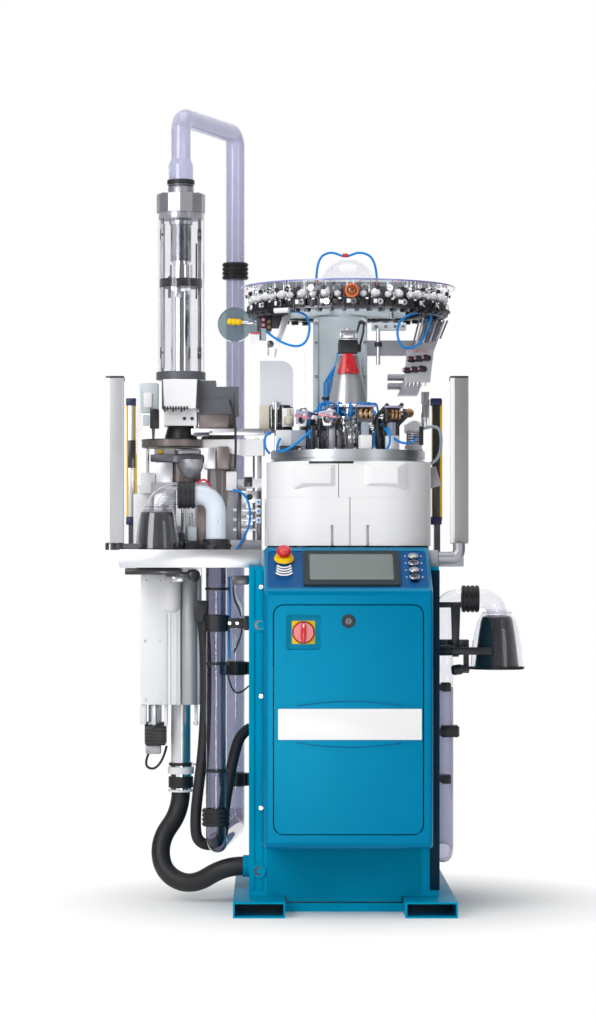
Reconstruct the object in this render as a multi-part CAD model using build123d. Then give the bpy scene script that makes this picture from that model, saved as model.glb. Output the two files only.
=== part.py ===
from build123d import *
import os
from math import atan2, cos, degrees, hypot, radians, sin

# Sock knitting machine with a toe closing unit and suction tubes, in mm, +Z up.
# The origin lies on the floor under the needle axis, +X to the operator's right, +Y to the back.

# Clearances and stock that all pieces share
FIT = 0.3
CUT = 6.0
SHEET = 3.0

# Floor frame: two hollow feet with a folded pan between them
FRAME_OFFSET = 18.0
FEET_SPAN = 618.0
FOOT_WIDTH = 144.0
FOOT_HEIGHT = 44.0
FOOT_WALL = 5.0
FOOT_FRONT = 420.0
FOOT_LENGTH = 900.0
PAN_LIP = 24.0

# Cabinet under the machine bed
CABINET_WIDTH = 532.0
CABINET_FRONT = 262.0
CABINET_DEPTH = 592.0
CABINET_HEIGHT = 921.0
COLUMN_FACE = 44.0
PORT_WALL = 4.0
PORT_LENGTH = 18.0
PORT_RISE = 65.0
PORT_FRONT = 78.0

# Plinth panel under the hood
PLINTH_WIDTH = 430.0
PLINTH_FLOOR_GAP = 28.0
PLINTH_HOOD_GAP = 2.0
PLINTH_FOOT_GAP = 4.0

# Control rack inside the cabinet
RACK_WIDTH = 400.0
RACK_HEIGHT = 620.0
RACK_BACK_GAP = 120.0
RACK_LEDGE = 90.0
MODULE_DEPTH = 70.0
MODULE_GAP = 24.0
MODULE_ROWS = 3
MODULE_COLUMNS = 2

# Moulded front hood with a sloping control desk
HOOD_OFFSET = 10.0
HOOD_WIDTH = 465.0
HOOD_FRONT = 430.0
HOOD_BACK = 224.0
HOOD_LOW = 190.0
HOOD_FACE_DROP = 67.0
HOOD_RISE = 7.0
HOOD_WALL = 4.0
HOOD_ROUND = 20.0
HOOD_SIDE_ROUND = 12.0

# Front door, with a lens-shaped dish, a switch pocket and a lock
DOOR_WIDTH = 408.0
DOOR_DROP = 106.0
DOOR_LOW = 232.0
DOOR_DEPTH = 24.0
DOOR_SKIN = 4.0
DOOR_ROUND = 26.0
DOOR_GAP = 3.0
HINGE_PIN = 1.5
HINGE_CLEARANCE = 0.05
DISH_MARGIN = 8.0
DISH_END = 92.0
DISH_MIDDLE = 150.0
DISH_UP = 299.0
DISH_DEPTH = 2.0
POCKET_SIDE = 96.0
POCKET_DEPTH = 18.0
POCKET_WALL = 3.0
POCKET_ROUND = 8.0
POCKET_IN = 81.0
POCKET_DROP = 74.0
SWITCH_SHAFT = 7.0
SWITCH_RADIUS = 29.0
SWITCH_DISC = 9.0
SWITCH_GRIP = 15.0
SWITCH_GRIP_WIDTH = 17.0
SWITCH_STANDOFF = 4.0
LOCK_DROP = 43.0
LOCK_RADIUS = 19.0
LOCK_PROUD = 6.0
LOCK_BARREL = 11.0
LOCK_LENGTH = 30.0
LOCK_SLOT = 4.0

# Control panel plate, display, push buttons and emergency stop
PANEL_WIDTH = 442.0
PANEL_LENGTH = 200.0
PANEL_THICK = 4.0
PANEL_SINK = 2.0
PANEL_ROUND = 14.0
DISPLAY_WIDTH = 267.0
DISPLAY_LENGTH = 184.0
DISPLAY_HEIGHT = 8.0
DISPLAY_SHIFT = 11.0
DISPLAY_ROUND = 8.0
SCREEN_WIDTH = 228.0
SCREEN_LENGTH = 144.0
SCREEN_SINK = 3.0
BUTTON_RADIUS = 11.5
BUTTON_PROUD = 9.0
BUTTON_DEPTH = 10.0
BUTTON_RIGHT = 184.0
BUTTON_SPACING = 38.0
BUTTON_COUNT = 4
ESTOP_LEFT = 176.0
ESTOP_UP = 40.0
ESTOP_STEM = 9.0
ESTOP_COLLAR = 23.0
ESTOP_COLLAR_HEIGHT = 10.0
ESTOP_HEAD = 20.0
ESTOP_HEAD_HEIGHT = 14.0
ESTOP_GAP = 9.0
ESTOP_DEPTH = 16.0

# Machine base plate on the cabinet, its columns and the round bed plate
BASE_HEIGHT = 47.0
BASE_FRONT = 216.0
HEAD_HEIGHT = 250.0
BED_RADIUS = 222.0
BED_THICKNESS = 34.0
BED_GROOVE = 6.0
COLUMN_RADIUS = 14.0
COLUMN_CIRCLE = 190.0

# Needle cylinder, its pulley and the cam ring around it
CYLINDER_RADIUS = 51.0
CYLINDER_WALL = 7.0
CYLINDER_RISE = 84.0
CYLINDER_DROP = 92.0
NEEDLE_COUNT = 36
NEEDLE_SLOT = 2.4
NEEDLE_SLOT_DEPTH = 3.5
NEEDLE_SLOT_LENGTH = 36.0
PULLEY_RADIUS = 85.0
PULLEY_HEIGHT = 28.0
CAM_RADIUS = 98.0
CAM_HEIGHT = 44.0
CAM_STEP = 12.0

# Main motor and belt under the bed
MOTOR_OFFSET = 150.0
MOTOR_RADIUS = 52.0
MOTOR_GAP = 8.0
MOTOR_SHAFT = 9.0
MOTOR_PULLEY = 30.0
BELT_THICKNESS = 4.0
BELT_MARGIN_SHARE = 0.15

# White skirt: fixed upper band and rear half, two front doors
SKIRT_WIDTH = 470.0
SKIRT_DEPTH = 430.0
SKIRT_ROUND = 150.0
SKIRT_WALL = 4.0
SKIRT_SPLIT = 148.0
SKIRT_GAP = 2.0
SKIRT_FLOOR_GAP = 12.0
SKIRT_HINGE_BACK = 20.0
SKIRT_KNUCKLE = 5.0
SKIRT_DECK_HOLE = 205.0
SKIRT_BOSS_WIDTH = 112.0
SKIRT_BOSS_PROUD = 12.0
SKIRT_BOSS_SPREAD = 102.0
SKIRT_BOSS_TAPER = 24.0
SKIRT_BOSS_SHARE = 0.82
FINGER_SLOT_WIDTH = 8.0
FINGER_SLOT_HEIGHT = 58.0
FINGER_SLOT_OFFSET = 50.0

# Mast behind the head with its cross arm
MAST_OFFSET = 19.0
MAST_WIDTH = 158.0
MAST_FRONT = 112.0
MAST_DEPTH = 76.0
MAST_WALL = 5.0
MAST_ROUND = 14.0
MAST_HEIGHT = 399.0
ARM_HALF_LENGTH = 172.0
ARM_DEPTH = 40.0
ARM_HEIGHT = 30.0

# Dial head over the needle cylinder
DIAL_RADIUS = 48.0
DIAL_THICKNESS = 10.0
DIAL_GAP = 6.0
DIAL_SHAFT = 8.0
CONE_GAP = 26.0
CONE_LOW_RADIUS = 59.0
CONE_TOP_RADIUS = 30.0
CONE_HEIGHT = 150.0
CONE_RIM = 10.0
DIAL_ARM_WIDTH = 52.0
DIAL_ARM_HEIGHT = 90.0
DIAL_ARM_TOP_GAP = 14.0
DIAL_MOTOR_SIDE = 57.0
DIAL_MOTOR_HEIGHT = 50.0
DIAL_CAP_SIDE = 50.0
DIAL_CAP_HEIGHT = 25.0
DIAL_MOTOR_ROUND = 6.0
GUARD_WALL = 3.0
GUARD_HEIGHT = 54.0
GUARD_TOP_GAP = 4.0
GUARD_SWEEP = 130.0

# Yarn ring: plate with feeder blocks, guide eyes, clear disc and dome
RING_INNER = 228.0
RING_OUTER = 286.0
RING_THICKNESS = 6.0
FEEDER_COUNT = 24
FEEDER_RING_RADIUS = 272.0
FEEDER_LENGTH = 34.0
FEEDER_WIDTH = 40.0
FEEDER_HEIGHT = 22.0
GUIDE_RADIUS = 14.0
GUIDE_TAPER = 9.0
GUIDE_LENGTH = 26.0
GUIDE_SIDES = 8
PILLAR_RADIUS = 4.0
PILLAR_RING_RADIUS = 243.0
PILLAR_COUNT = 6
PILLAR_SIDES = 6
PILLAR_TURN = 7.5
DISC_RISE = 69.0
DISC_RADIUS = 309.0
DISC_THICKNESS = 4.0
DOME_RADIUS = 85.0
DOME_WALL = 3.0
DOME_SHOULDER_SHARE = 0.71
DOME_SIDES = 16
DOME_CROWN_SLOPE = 35.0

# Yarn lamp guard hung from the ring on the left
LAMP_LEFT = 326.0
LAMP_FRONT = 60.0
LAMP_DROP = 30.0
LAMP_RADIUS = 49.0
LAMP_SMALL_RADIUS = 28.0
LAMP_SPREAD = 62.0
LAMP_DEPTH = 36.0
LAMP_WALL = 3.0
HANGER_WIDTH = 16.0

# Yarn finger magazine on the right of the mast
MAGAZINE_ARM_DEPTH = 30.0
MAGAZINE_ARM_HEIGHT = 44.0
MAGAZINE_ARM_LENGTH = 128.0
MAGAZINE_ARM_DROP = 62.0
MAGAZINE_WIDTH = 56.0
MAGAZINE_HEIGHT = 212.0
MAGAZINE_LEAN = 78.0
MAGAZINE_DEPTH = 96.0
MAGAZINE_RISE = 50.0
MAGAZINE_SLOT_SHARE = 0.55
MAGAZINE_SLOTS = 6
MAGAZINE_SLOT = 7.0
YARN_FINGER_RADIUS = 8.0
YARN_FINGER_LENGTH = 30.0
YARN_FINGER_PITCH = 26.0
YARN_FINGER_ROWS = 2
YARN_FINGERS = 3

# Units around the bed: finger motors, valves, selector box and side motor
UNIT_CIRCLE = 152.0
UNIT_ANGLES = (-76.0, -48.0, -24.0, 222.0, 250.0)
UNIT_BASE = 34.0
UNIT_BASE_HEIGHT = 52.0
UNIT_PLATE = 9.0
UNIT_HEIGHT = 122.0
UNIT_MOTOR = 40.0
UNIT_MOTOR_LENGTH = 34.0
VALVE_SIDE = 36.0
VALVE_HEIGHT = 80.0
VALVE_NECK_SHARE = 0.7
VALVE_CAP_SHARE = 0.3
VALVE_CIRCLE = 193.0
VALVE_ANGLES = (-4.0, 14.0)
SELECTOR_WIDTH = 82.0
SELECTOR_DEPTH = 52.0
SELECTOR_HEIGHT = 57.0
SELECTOR_RIGHT = 124.0
SELECTOR_BACK = 24.0
SIDE_COVER_WIDTH = 96.0
SIDE_COVER_HEIGHT = 134.0
SIDE_COVER_DEPTH = 86.0
SIDE_COVER_ROUND = 34.0
SIDE_COVER_RIGHT = 158.0
SIDE_COVER_FRONT = 56.0
SIDE_MOTOR_WIDTH = 88.0
SIDE_MOTOR_HEIGHT = 70.0
SIDE_MOTOR_MARGIN = 6.0
SIDE_STAND = 24.0
SIDE_STAND_HEIGHT = 62.0

# Side table on the left, with lugs for the flap
TABLE_LENGTH = 366.0
TABLE_FRONT = 216.0
TABLE_WALL = 5.0

# Light barrier: turned mirror posts in front, sensor bars behind
POST_SIDE = 36.0
POST_TURN = 30.0
POST_HEIGHT = 459.0
POST_CAP = 8.0
POST_CAP_MARGIN = 1.5
POST_FRONT = 186.0
POST_LEFT = 662.0
POST_RIGHT = 308.0
POST_FOOT = 18.0
POST_ARM = 26.0
BAR_WIDTH = 30.0
BAR_DEPTH = 35.0
BAR_HEIGHT = 358.0
BAR_BACK = 200.0
BAR_LEFT = 634.0
BAR_RIGHT = 269.0
BAR_LEG = 88.0
BAR_LEG_SHARE = 0.6

# Toe closing unit: axis, pedestal, column, heads and covers
TOE_LEFT = 484.0
TOE_BACK = 60.0
PEDESTAL_WIDTH = 168.0
PEDESTAL_DEPTH = 130.0
PEDESTAL_HEIGHT = 196.0
BOWL_RADIUS = 46.0
BOWL_HEIGHT = 58.0
LINK_RADIUS = 72.0
LINK_THICKNESS = 18.0
LINK_HUB = 34.0
TOE_BORE = 31.0
TOE_COLUMN_WIDTH = 84.0
TOE_COLUMN_DEPTH = 84.0
TOE_COLUMN_HEIGHT = 393.0
TOE_COLUMN_RIGHT = 324.0
TOE_COLUMN_BACK = 92.0
COLUMN_GROOVE = 6.0
TIE_HEIGHT = 18.0
TIE_DEPTH = 16.0
TIE_DROP = 40.0
TIE_RIGHT = 226.0
TIE_FRONT = 38.0
TOE_BOX_WIDTH = 116.0
TOE_BOX_DEPTH = 150.0
TOE_BOX_HEIGHT = 80.0
TOE_BOX_STEP = 18.0
TOE_BOX_STEP_SHARE = 0.42
TOE_BOX_FRONT = 20.0
TOE_BODY_WIDTH = 106.0
TOE_BODY_DEPTH = 140.0
TOE_BODY_HEIGHT = 84.0
TOE_BODY_RISE = 15.0
TOE_RING_HEIGHT = 23.0
TOE_COVER_WIDTH = 98.0
TOE_COVER_DEPTH = 20.0
TOE_COVER_TAPER = 4.0
TOE_BLOCK_HEIGHT = 48.0
TOE_BLOCK_DEPTH = 118.0
TOE_BLOCK_WIDTH = 94.0
TURRET_HEIGHT = 36.0
TURRET_LOW_RADIUS = 48.0
TURRET_TOP_RADIUS = 38.0

# Guard cylinder, cap, guide rods and the sliding sock tube
GUARD_RADIUS = 68.0
GUARD_TUBE_WALL = 3.0
GUARD_TUBE_HEIGHT = 464.0
CAP_HEIGHT = 54.0
CAP_SIDES = 12
CAP_LIP = 18.0
SPIGOT_RADIUS = 33.0
SPIGOT_HEIGHT = 40.0
ROD_RADIUS = 5.0
ROD_SPREAD = 54.0
SOCK_TUBE_RADIUS = 30.0
SOCK_TUBE_WALL = 2.0
SOCK_TUBE_FIXED = 122.0
SOCK_TUBE_START = 16.0
SOCK_TUBE_LENGTH = 256.0
SOCK_SPIGOT_LENGTH = 176.0
COLLAR_RADIUS = 62.0
COLLAR_HEIGHT = 24.0

# Transfer arm with its pick-up ring, on a post beside the skirt
PIVOT_LEFT = 262.0
PIVOT_BACK = 30.0
PIVOT_RADIUS = 13.0
PIVOT_PIN = 8.0
PICKUP_OUT = 24.0
PICKUP_RADIUS = 91.0
PICKUP_HOLE = 52.0
PICKUP_HEIGHT = 20.0
PICKUP_GAP = 3.0
ARM_ROOT_WIDTH = 40.0
ARM_TIP_WIDTH = 26.0
ARM_ROOT_DROP = 28.0
FRAME_LEG = 26.0
FRAME_BARS = 3
FRAME_BAR = 9.0
FRAME_RIGHT = 250.0
FRAME_WIDTH = 70.0
FRAME_FRONT = 74.0
FRAME_DEPTH = 60.0
FRAME_HEAD = 92.0

# Lower housing under the table, drive motor and sock tube
HOUSING_WIDTH = 172.0
HOUSING_LEFT = 596.0
HOUSING_PANEL = 78.0
HOUSING_DEPTH = 160.0
HOUSING_FRONT = 20.0
HOUSING_HEIGHT = 398.0
HOUSING_STEP = 40.0
CAPSULE_RADIUS = 25.0
CAPSULE_LEFT = 503.0
CAPSULE_DROP = 16.0
CAPSULE_HEIGHT = 114.0
LOWER_MOTOR_WIDTH = 62.0
LOWER_MOTOR_HEIGHT = 60.0
LOWER_MOTOR_GAP = 54.0
LOWER_MOTOR_NECK_SHARE = 0.55
LOWER_TUBE_RADIUS = 28.5
LOWER_TUBE_LENGTH = 172.0
HOSE_COUPLING = 78.0

# Sock hose from the lower tube into the cabinet
HOSE_RADIUS = 27.0
HOSE_BEND_SHARE = 0.45
HOSE_RUNS = (
    (0.0, 0.0, -62.0),
    (-62.0, -34.0, -82.0),
    (12.0, -30.0, -92.0),
    (84.0, -36.0, -36.0),
)
HOSE_END = 52.0

# Suction tubes, couplings, bells and flaps
TUBE_RADIUS = 28.5
TUBE_WALL = 2.5
TUBE_BEND = 39.0
BEND_PIECES = 3
SOCKET_LENGTH = 104.0
TOP_TUBE_RISE = 186.0
BACK_TUBE_RIGHT = 154.0
BACK_TUBE_BACK = 350.0
RETURN_HEIGHT = 176.0
DROP_RIGHT = 105.0
DROP_FRONT = 180.0
DROP_JOINT_HEIGHT = 252.0
BACK_JOINT_DROP = 134.0
BELL_TUBE_RISE = 157.0
LEFT_BELL_OUT = 168.0
LEFT_BELL_RADIUS = 65.0
LEFT_BELL_HEIGHT = 112.0
BELL_WALL = 3.0
BELL_NECK = 10.0
BELL_SHOULDER_WIDTH_SHARE = 0.86
BELL_SHOULDER_HEIGHT_SHARE = 0.45
LEFT_NECK_RADIUS = 58.0
LEFT_NECK_DROP = 57.0
RIGHT_BELL_OUT = 186.0
RIGHT_BELL_BACK = 60.0
RIGHT_BELL_LOW = 672.0
RIGHT_BELL_RADIUS = 77.0
RIGHT_BELL_HEIGHT = 156.0
RIGHT_TUBE_HEIGHT = 871.0
SIDE_TUBE_OUT = 32.0
SIDE_TUBE_LOW = 130.0
SIDE_TUBE_REACH = 120.0
COUPLING_WALL = 8.0
COUPLING_LENGTH = 50.0
CLAMP_WALL = 4.0
CLAMP_LENGTH = 16.0
SIDE_CLAMP_SHARES = (0.615, 0.486, 0.353)
BRACKET_WIDTH = 40.0
FLAP_THICKNESS = 3.0
FLAP_GAP = 2.0
FLAP_ARM = 14.0
FLAP_HINGE_GAP = 10.0
FLAP_KNUCKLE = 7.0
FLAP_PIN = 3.0
FLAP_WEIGHT_RADIUS = 10.0
FLAP_WEIGHT_LENGTH = 34.0
FLAP_WEIGHT_REACH = 26.0
LUG_THICKNESS = 5.0

# Levels and places that follow from the sizes
cabinet_low = FOOT_HEIGHT
port_z = cabinet_low + PORT_RISE
cabinet_top = FOOT_HEIGHT + CABINET_HEIGHT
base_top = cabinet_top + BASE_HEIGHT
bed_low = base_top + HEAD_HEIGHT
bed_top = bed_low + BED_THICKNESS
cylinder_top = bed_top + CYLINDER_RISE
dial_low = cylinder_top + DIAL_GAP
dial_top = dial_low + DIAL_THICKNESS
cone_low = dial_top + CONE_GAP
cone_top = cone_low + CONE_HEIGHT
mast_top = bed_top + MAST_HEIGHT
ring_low = mast_top - RING_THICKNESS
ring_top = mast_top
disc_low = ring_top + DISC_RISE
cabinet_left = -FRAME_OFFSET - CABINET_WIDTH / 2
cabinet_right = -FRAME_OFFSET + CABINET_WIDTH / 2
cabinet_back = CABINET_DEPTH - CABINET_FRONT
hood_top = base_top + HOOD_RISE
hood_face_top = cabinet_top - HOOD_FACE_DROP
door_top = cabinet_top - DOOR_DROP
door_height = door_top - DOOR_LOW
door_left = -HOOD_OFFSET - DOOR_WIDTH / 2
door_right = door_left + DOOR_WIDTH
hinge_y = HOOD_WALL / 2 - HOOD_FRONT
hinge_z = DOOR_LOW + HOOD_WALL / 2
pulley_low = bed_low - CYLINDER_DROP
table_left = cabinet_left - TABLE_LENGTH
toe_x = -TOE_LEFT
toe_y = TOE_BACK
toe_box_low = base_top + TOE_COLUMN_HEIGHT
toe_body_low = toe_box_low + TOE_BODY_RISE
toe_body_top = toe_body_low + TOE_BODY_HEIGHT
guard_low = toe_body_top + TOE_RING_HEIGHT
guard_top = guard_low + GUARD_TUBE_HEIGHT
cap_top = guard_top + CAP_HEIGHT
spigot_top = cap_top + SPIGOT_HEIGHT
block_low = toe_body_low - TOE_BLOCK_HEIGHT
turret_low = block_low - TURRET_HEIGHT
pickup_top = turret_low - PICKUP_GAP
pickup_low = pickup_top - PICKUP_HEIGHT
pickup_x = toe_x - PICKUP_OUT
pedestal_top = base_top + PEDESTAL_HEIGHT
link_low = pedestal_top + BOWL_HEIGHT
housing_low = cabinet_top - HOUSING_HEIGHT
lower_tube_low = housing_low - LOWER_TUBE_LENGTH
hose_start = lower_tube_low - HOSE_COUPLING
back_tube_x = toe_x + BACK_TUBE_RIGHT
back_tube_y = toe_y + BACK_TUBE_BACK
top_tube_z = spigot_top + TOP_TUBE_RISE
back_joint_z = guard_top - BACK_JOINT_DROP
drop_x = toe_x + DROP_RIGHT
drop_y = toe_y - DROP_FRONT
bell_tube_z = base_top + BELL_TUBE_RISE
left_bell_x = drop_x - LEFT_BELL_OUT
right_bell_x = cabinet_right + RIGHT_BELL_OUT
side_tube_x = cabinet_right + SIDE_TUBE_OUT
side_joint_z = base_top * SIDE_CLAMP_SHARES[0] - CLAMP_LENGTH / 2
left_flap_radius = LEFT_NECK_RADIUS + FLAP_GAP
left_hinge_x = left_bell_x + left_flap_radius + FLAP_HINGE_GAP
left_neck_low = base_top - LEFT_NECK_DROP
left_flap_top = left_neck_low - FLAP_GAP
right_flap_radius = RIGHT_BELL_RADIUS + FLAP_GAP
right_hinge_x = right_bell_x - right_flap_radius - FLAP_HINGE_GAP
right_flap_top = RIGHT_BELL_LOW - FLAP_GAP
slope = atan2(hood_top - hood_face_top, HOOD_FRONT - HOOD_BACK)
slope_middle_y = -(HOOD_FRONT + HOOD_BACK) / 2
slope_middle_z = (hood_face_top + hood_top) / 2


# Shapes that many pieces use

def block(x, y, z):
    """Box between the low and high values of each pair."""
    middle = Pos((x[0] + x[1]) / 2, (y[0] + y[1]) / 2, (z[0] + z[1]) / 2)
    return middle * Box(x[1] - x[0], y[1] - y[0], z[1] - z[0])


def post(x, y, radius, low, high):
    """Upright round bar."""
    return Pos(x, y, (low + high) / 2) * Cylinder(radius, high - low)


def pipe(x, y, outer, inner, low, high):
    """Upright round tube."""
    return post(x, y, outer, low, high) - post(x, y, inner, low - CUT, high + CUT)


def bar_along_x(y, z, radius, low, high):
    """Round bar that lies along X."""
    return Pos((low + high) / 2, y, z) * Rot(0, 90, 0) * Cylinder(radius, high - low)


def bar_along_y(x, z, radius, low, high):
    """Round bar that lies along Y."""
    return Pos(x, (low + high) / 2, z) * Rot(90, 0, 0) * Cylinder(radius, high - low)


def front_plate(outline, back, thickness):
    """Outline drawn in X and Z, thickened from its back face towards the front."""
    return Pos(0, back, 0) * Rot(90, 0, 0) * extrude(outline, thickness)


def raised(outline, low, high):
    """Outline drawn in X and Y, raised between two levels."""
    return Pos(0, 0, low) * extrude(outline, high - low)


def turned(points):
    """Ring about the Z axis from a profile of radius and height pairs."""
    profile = make_face(Polyline(*[(radius, 0, level) for radius, level in points], close=True))
    return revolve(profile, Axis.Z)


def group(*pieces):
    """Pieces that share one node but stay separate solids."""
    return Compound([solid for piece in pieces for solid in piece.solids()])


def swept_tube(points, radius, wall, bend):
    """Hollow tube along straight runs in one plane, with each bend made of short mitred pieces."""
    corners = []
    for edge in FilletPolyline(*points, radius=bend).order_edges():
        pieces = BEND_PIECES if edge.geom_type == GeomType.CIRCLE else 1
        corners += [edge @ (step / pieces) for step in range(pieces)]
    path = Polyline(*corners, points[-1])
    start = Plane(origin=path @ 0, z_dir=path % 0)
    section = Circle(radius) - Circle(radius - wall)
    return sweep(start * section, path=path, transition=Transition.RIGHT)


def on_slope(x, up, height):
    """Place on the control desk: along X, up the slope and out of the surface."""
    desk = Plane(
        origin=(-HOOD_OFFSET, slope_middle_y, slope_middle_z),
        x_dir=(1, 0, 0),
        z_dir=(0, -sin(slope), cos(slope)),
    )
    return desk.location * Pos(x, up, height)


# Frame, cabinet and hood

def base_frame():
    middle_y = FOOT_LENGTH / 2 - FOOT_FRONT
    half = (FEET_SPAN - FOOT_WIDTH) / 2
    inside = half - FOOT_WIDTH / 2
    foot = Box(FOOT_WIDTH, FOOT_LENGTH, FOOT_HEIGHT)
    foot -= Box(FOOT_WIDTH - 2 * FOOT_WALL, FOOT_LENGTH + 2 * CUT, FOOT_HEIGHT - 2 * FOOT_WALL)
    across = (-FRAME_OFFSET - inside, -FRAME_OFFSET + inside)
    pan = block(across, (-CABINET_FRONT, FOOT_LENGTH - FOOT_FRONT), (0, SHEET))
    lip = block(across, (-CABINET_FRONT, SHEET - CABINET_FRONT), (0, PAN_LIP))
    frame = pan + lip
    for side in (-1, 1):
        frame += Pos(-FRAME_OFFSET + side * half, middle_y, FOOT_HEIGHT / 2) * foot
    return frame


def hose_points():
    """Corners of the sock hose from the coupling to the cabinet's port."""
    points = [(toe_x, toe_y, hose_start)]
    for run in HOSE_RUNS:
        points.append(tuple(old + step for old, step in zip(points[-1], run)))
    end = cabinet_left - PORT_LENGTH
    return points + [(end - HOSE_END, -PORT_FRONT, port_z), (end, -PORT_FRONT, port_z)]


def cabinet_shell():
    shell = block((cabinet_left, cabinet_right), (-CABINET_FRONT, cabinet_back), (cabinet_low, cabinet_top))
    shell -= block(
        (cabinet_left + SHEET, cabinet_right - SHEET),
        (SHEET - CABINET_FRONT, cabinet_back - SHEET),
        (cabinet_low + SHEET, cabinet_top - SHEET),
    )
    shell -= block(
        (cabinet_left + COLUMN_FACE, cabinet_right - COLUMN_FACE),
        (-CABINET_FRONT - CUT, SHEET - CABINET_FRONT + CUT),
        (DOOR_LOW, door_top),
    )
    outer = HOSE_RADIUS + PORT_WALL
    shell += bar_along_x(-PORT_FRONT, port_z, outer, cabinet_left - PORT_LENGTH, cabinet_left)
    shell -= bar_along_x(-PORT_FRONT, port_z, HOSE_RADIUS - PORT_WALL, cabinet_left - PORT_LENGTH - CUT,
                         cabinet_left + SHEET + CUT)
    return shell


def plinth_panel():
    half = PLINTH_WIDTH / 2
    inside = FEET_SPAN / 2 - FOOT_WIDTH - PLINTH_FOOT_GAP
    top = HOOD_LOW - PLINTH_HOOD_GAP
    step = FOOT_HEIGHT + PLINTH_FOOT_GAP
    outline = make_face(Polyline(
        (-half, top), (half, top), (half, step), (inside, step), (inside, PLINTH_FLOOR_GAP),
        (-inside, PLINTH_FLOOR_GAP), (-inside, step), (-half, step), close=True))
    return front_plate(Pos(-FRAME_OFFSET, 0) * outline, -CABINET_FRONT, SHEET)


def control_rack():
    low = cabinet_low + SHEET
    back = cabinet_back - RACK_BACK_GAP
    across = (-FRAME_OFFSET - RACK_WIDTH / 2, -FRAME_OFFSET + RACK_WIDTH / 2)
    rack = block(across, (back, back + SHEET), (low, low + RACK_HEIGHT))
    rack += block(across, (back, back + RACK_LEDGE), (low, low + SHEET))
    wide = (RACK_WIDTH - MODULE_GAP * (MODULE_COLUMNS + 1)) / MODULE_COLUMNS
    high = (RACK_HEIGHT - MODULE_GAP * (MODULE_ROWS + 1)) / MODULE_ROWS
    for column in range(MODULE_COLUMNS):
        for row in range(MODULE_ROWS):
            x = across[0] + MODULE_GAP + column * (wide + MODULE_GAP)
            z = low + MODULE_GAP + row * (high + MODULE_GAP)
            rack += block((x, x + wide), (back - MODULE_DEPTH, back), (z, z + high))
    return rack


def hood_solid(inset):
    """Hood outline seen from the side, thickened across its width, with rounded front edges."""
    profile = make_face(Polyline(
        (0, -CABINET_FRONT, HOOD_LOW), (0, -HOOD_FRONT, HOOD_LOW), (0, -HOOD_FRONT, hood_face_top),
        (0, -HOOD_BACK, hood_top), (0, -HOOD_BACK, cabinet_top), (0, -CABINET_FRONT,
                                                                  cabinet_top), close=True))
    if inset:
        profile = offset(profile, -inset, kind=Kind.INTERSECTION)
    profile = fillet(profile.vertices().group_by(Axis.Y)[0], HOOD_ROUND - inset)
    half = HOOD_WIDTH / 2 - inset
    solid = Pos(-HOOD_OFFSET - half, 0, 0) * extrude(profile, 2 * half, dir=(1, 0, 0))
    faces = solid.faces().sort_by(Axis.X)
    edges = faces[0].edges() + faces[-1].edges()
    front = [edge for edge in edges if edge.bounding_box().min.Y < -CABINET_FRONT - HOOD_WALL - FIT]
    return fillet(front, HOOD_SIDE_ROUND - inset)


def hinge_pins(radius, reach):
    """Door pins across the rounds of its lower corners, in the middle of the hood's front wall."""
    ends = ((door_left - reach, door_left + DOOR_ROUND), (door_right - DOOR_ROUND, door_right + reach))
    return [bar_along_x(hinge_y, hinge_z, radius, low, high) for low, high in ends]


def front_hood():
    hood = hood_solid(0)
    hood -= hood_solid(HOOD_WALL)
    half = HOOD_WIDTH / 2 - HOOD_WALL
    across = (-HOOD_OFFSET - half, -HOOD_OFFSET + half)
    hood -= block(across, (-CABINET_FRONT - HOOD_WALL - CUT, CUT - CABINET_FRONT),
                  (HOOD_LOW + HOOD_WALL, cabinet_top))
    mouth = RectangleRounded(DOOR_WIDTH + 2 * DOOR_GAP, door_height + 2 * DOOR_GAP, DOOR_ROUND + DOOR_GAP)
    mouth = Pos(-HOOD_OFFSET, (DOOR_LOW + door_top) / 2) * mouth
    hood -= front_plate(mouth, CUT + HOOD_WALL - HOOD_FRONT, HOOD_WALL + 2 * CUT)
    window = RectangleRounded(PANEL_WIDTH, PANEL_LENGTH, PANEL_ROUND)
    hood -= on_slope(0, 0, -HOOD_WALL - CUT) * extrude(window, HOOD_WALL + 2 * CUT)
    return hood - hinge_pins(HINGE_PIN + HINGE_CLEARANCE, HINGE_PIN)


# Door with its switch and lock

def pocket_place():
    """Middle of the switch pocket in X and Z."""
    return door_left + POCKET_IN, door_top - POCKET_DROP


def lock_place():
    """Middle of the lock in X and Z."""
    return -HOOD_OFFSET, door_top - LOCK_DROP


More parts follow.
